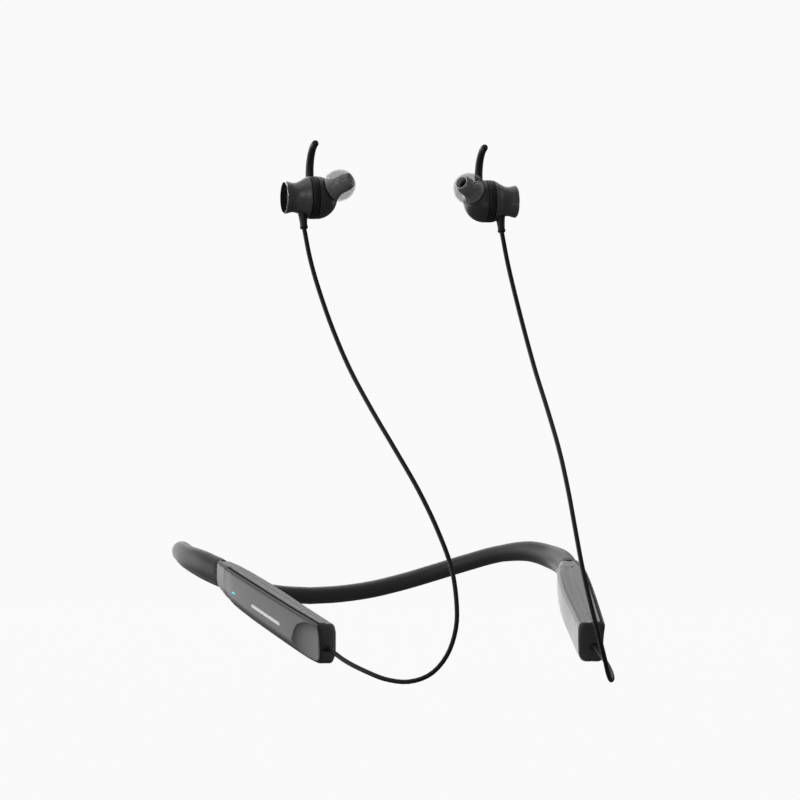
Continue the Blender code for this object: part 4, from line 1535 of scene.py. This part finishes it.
@dataclass
class Earbud:
    """An earbud: trumpet housing, hook, front dome with nozzle, smoked tip and strain relief.

    A turned piece's sizes are (distance along its axis, radius).
    """

    fine_sides: int = 128
    sides: int = 96
    small_sides: int = 64
    bore_sides: int = 48
    dome_steps: int = 30
    hook_steps: int = 60
    hook_sides: int = 24
    hook_start: float = -34.0
    hook_sweep: float = 118.0
    hook_radius: float = 10.8
    hook_back: float = 1.9
    hook_up: float = 9.35
    hook_shift: float = 1.2
    models: dict[str, Model] = field(default_factory=dict)

    @property
    def body_place(self) -> Matrix:
        """From inward distance along the body's axis to the earbud's frame."""
        inwards = Matrix.Rotation(math.pi, 4, "Z")
        return Matrix.Translation((RIM_OUT, BODY_BACK, BODY_UP)) @ inwards

    @property
    def nozzle_place(self) -> Matrix:
        """From distance along the nozzle's axis to the earbud's frame."""
        aim = Vector((
            -math.cos(NOZZLE_RISE) * math.cos(NOZZLE_HEADING),
            -math.cos(NOZZLE_RISE) * math.sin(NOZZLE_HEADING),
            math.sin(NOZZLE_RISE),
        ))
        start = Matrix.Translation(self.body_place @ Vector((DOME_AT, 0, 0)))
        return start @ aim.to_track_quat("X", "Z").to_matrix().to_4x4()

    @property
    def relief_place(self) -> Matrix:
        """From distance up the strain relief to the earbud's frame."""
        lean = Vector((0, math.sin(RELIEF_LEAN), math.cos(RELIEF_LEAN)))
        return lean.to_track_quat("X", "Z").to_matrix().to_4x4()

    def turn(self, key: str, profile: Sequence[Pair], sides: int, place: Matrix) -> Model:
        """Turns one of the earbud's pieces and keeps it as a model."""
        self.models[key] = Bench.turned(key, profile, sides, place)
        return self.models[key]

    def build_rear(self) -> None:
        """Turns the trumpet housing, the bright ring and the back disc."""
        housing = rounded_profile(TRUMPET, 5) + TRUMPET_LIP + TRUMPET_INSIDE
        self.turn("rear_housing", housing, self.sides, self.body_place)
        self.turn("rim_ring", RIM_RING, self.fine_sides, self.body_place)
        self.turn("back_disc", BACK_DISC, self.sides, self.body_place)

    def dome_outline(self) -> list[Pair]:
        """The front dome's outline, with the spigot that the hook's band sits on."""
        start = HOOK_BAND[1] + 0.12
        outline = [(9.3, 0), (9.3, SPIGOT_RADIUS), (start, SPIGOT_RADIUS)]
        outline += [(start, 7.72), (start + 0.1, 7.86)]
        first = math.acos((start + 0.3 - DOME_AT) / DOME_RADIUS)
        for i in range(self.dome_steps):
            angle = first * (1 - i / self.dome_steps)
            outline.append((DOME_AT + DOME_RADIUS * math.cos(angle), DOME_RADIUS * math.sin(angle)))
        outline.append((DOME_AT + DOME_RADIUS, 0))
        return outline

    def build_front(self) -> None:
        """Turns the dome, cuts its flat seat, adds the nozzle, bores it and meshes its end."""
        dome = self.turn("front_housing", self.dome_outline(), self.fine_sides, self.body_place)
        tube = [(3.0, 0), (3.0, NOZZLE_RADIUS), (NOZZLE_END - 0.2, NOZZLE_RADIUS)]
        tube += [(NOZZLE_END, NOZZLE_RADIUS - 0.15), (NOZZLE_END, 0)]
        seat, bore = rod(SEAT_AT, SEAT_AT + 8, 9.0), rod(5.0, NOZZLE_END + 2, NOZZLE_BORE)
        for name, profile, sides, operation in (
            ("seat", seat, self.small_sides, "DIFFERENCE"),
            ("tube", tube, self.small_sides, "UNION"),
            ("bore", bore, self.bore_sides, "DIFFERENCE"),
        ):
            tool = Bench.turned(name, profile, sides, self.nozzle_place)
            Bench.combine(dome, tool, operation)
        Bench.fill_pinholes(dome)
        rear, edge = NOZZLE_END - 0.7, NOZZLE_BORE - 0.05
        mesh = [(rear, 0), (rear, edge), (NOZZLE_END - 0.45, edge)]
        mesh += [(NOZZLE_END - 0.3, 0.8), (NOZZLE_END - 0.26, 0)]
        self.turn("nozzle_mesh", mesh, self.bore_sides, self.nozzle_place)

    def build_tip(self) -> None:
        """Turns the smoked tip: a flared core, and a thin dome folded back round it."""
        base = SEAT_AT + 0.55
        bore = NOZZLE_RADIUS + 0.06
        flare = [(base + 0.4, 4.42), (7.9, 4.0), (9.0, 3.5), (10.6, 3.2), (12.2, 3.3), (13.4, 3.3)]
        core = [(base, bore), (base, 4.3), (base + 0.12, 4.42)]
        core += rounded_profile(flare, 4) + rounded_profile(CORE_MOUTH, 3)
        core += [(NOZZLE_END + 0.4, 1.95), (NOZZLE_END + 0.2, bore)]
        self.turn("tip_core", core, self.sides, self.nozzle_place)
        skirt = rounded_profile(SKIRT_OUTSIDE, 6) + rounded_profile(SKIRT_INSIDE, 4)
        skirt.append((7.27, 4.96))
        self.turn("ear_tip", skirt, self.sides, self.nozzle_place)

    def hook_ring(self, share: float) -> list[Point]:
        """The hook's section part of the way from its root to its end.

        Args:
            share: 0 at the root, 1 at the end.

        Returns:
            The section's points in the earbud's frame.
        """
        angle = math.radians(self.hook_start + self.hook_sweep * share)
        tail = max(0.0, (share - 0.95) / 0.05)
        end = math.sqrt(max(0.02, 1 - tail**2))
        thick = (1.74 - 0.46 * share + 0.35 * (1 - ease(share, 0.05, 0.24))) * end
        wide = (1.35 + 0.25 * ease(share, 0.0, 0.25) - 0.36 * share) * end
        middle = RIM_OUT - (HOOK_BAND[0] + HOOK_BAND[1]) / 2
        shift = self.hook_shift * ease(share, 0.02, 0.24)
        ring = []
        for k in range(self.hook_sides):
            turn = FULL_TURN * k / self.hook_sides
            out = self.hook_radius + thick * math.sin(turn)
            ring.append((
                middle - shift + wide * math.cos(turn),
                BODY_BACK - self.hook_back + out * math.cos(angle),
                BODY_UP + self.hook_up + out * math.sin(angle),
            ))
        return ring

    def build_hook(self) -> None:
        """Turns the soft band and joins the curled hook to it."""
        near, far = HOOK_BAND
        inside, outside = SPIGOT_RADIUS + 0.1, DOME_RADIUS - 0.03
        profile = [(near, inside), (near, outside - 0.3)]
        profile += [(near + 0.08, outside - 0.12), (near + 0.3, outside)]
        profile += [(far - 0.3, outside), (far - 0.08, outside - 0.12)]
        profile += [(far, outside - 0.3), (far, inside)]
        hook = self.turn("ear_hook", profile, self.fine_sides, self.body_place)
        rings = [self.hook_ring(i / self.hook_steps) for i in range(self.hook_steps + 1)]
        Bench.combine(hook, Bench.skinned("fin", rings), "UNION")

    def build_relief(self) -> None:
        """Turns the tapered strain relief with its end collar and fits it to the housing."""
        profile = RELIEF_BORE + RELIEF_COLLAR + rounded_profile(RELIEF_TAPER, 4) + [(7.2, 0)]
        relief = self.turn("strain_relief", profile, self.small_sides, self.relief_place)
        around = [(-1, 0), (-1, 6.2)] + [(a, r - 0.1) for a, r in TRUMPET] + [(9.3, 0)]
        cutter = Bench.turned("around", around, self.small_sides, self.body_place)
        Bench.combine(relief, cutter, "DIFFERENCE")

    def build(self, paint: Paint) -> None:
        """Models every piece once and puts a copy on each side."""
        self.build_rear()
        self.build_front()
        self.build_tip()
        self.build_hook()
        self.build_relief()
        for side in Side:
            end = Vector((side.value * RELIEF_END.x, RELIEF_END.y, RELIEF_END.z))
            turn = Matrix.Rotation(EARBUD_TURN, 4, "Z")
            matrix = Matrix.Scale(MM, 4) @ Matrix.Translation(end) @ turn @ side.mirror
            for key, model in self.models.items():
                name = f"{side.word}_bud_{key}"
                piece = Bench.place(Bench.copy(model, name), name, matrix, paint[BUD_FINISHES[key]])
                part = "tip" if key in ("ear_tip", "tip_core") else "earbud"
                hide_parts(f"{side.word}_{'ear_tip' if part == 'tip' else key}")
                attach(piece, f"{side.word}_{part}")
        for model in self.models.values():
            bpy.data.objects.remove(model)


def main() -> None:
    """Builds the earphones in order: studio camera, cables, band, pods, earbuds, light."""
    logging.basicConfig(level=logging.INFO, format="%(name)s: %(message)s")
    studio = Studio()
    studio.build_camera()
    paint = Paint()
    paint.dress_nodes()
    for side in Side:
        Cable(side).build(paint)
    Band().build(paint)
    LeftPod(Side.LEFT).build(paint)
    RightPod(Side.RIGHT).build(paint)
    Earbud().build(paint)
    studio.build_sweep()
    studio.build_lights()


if __name__ == "__main__":
    main()
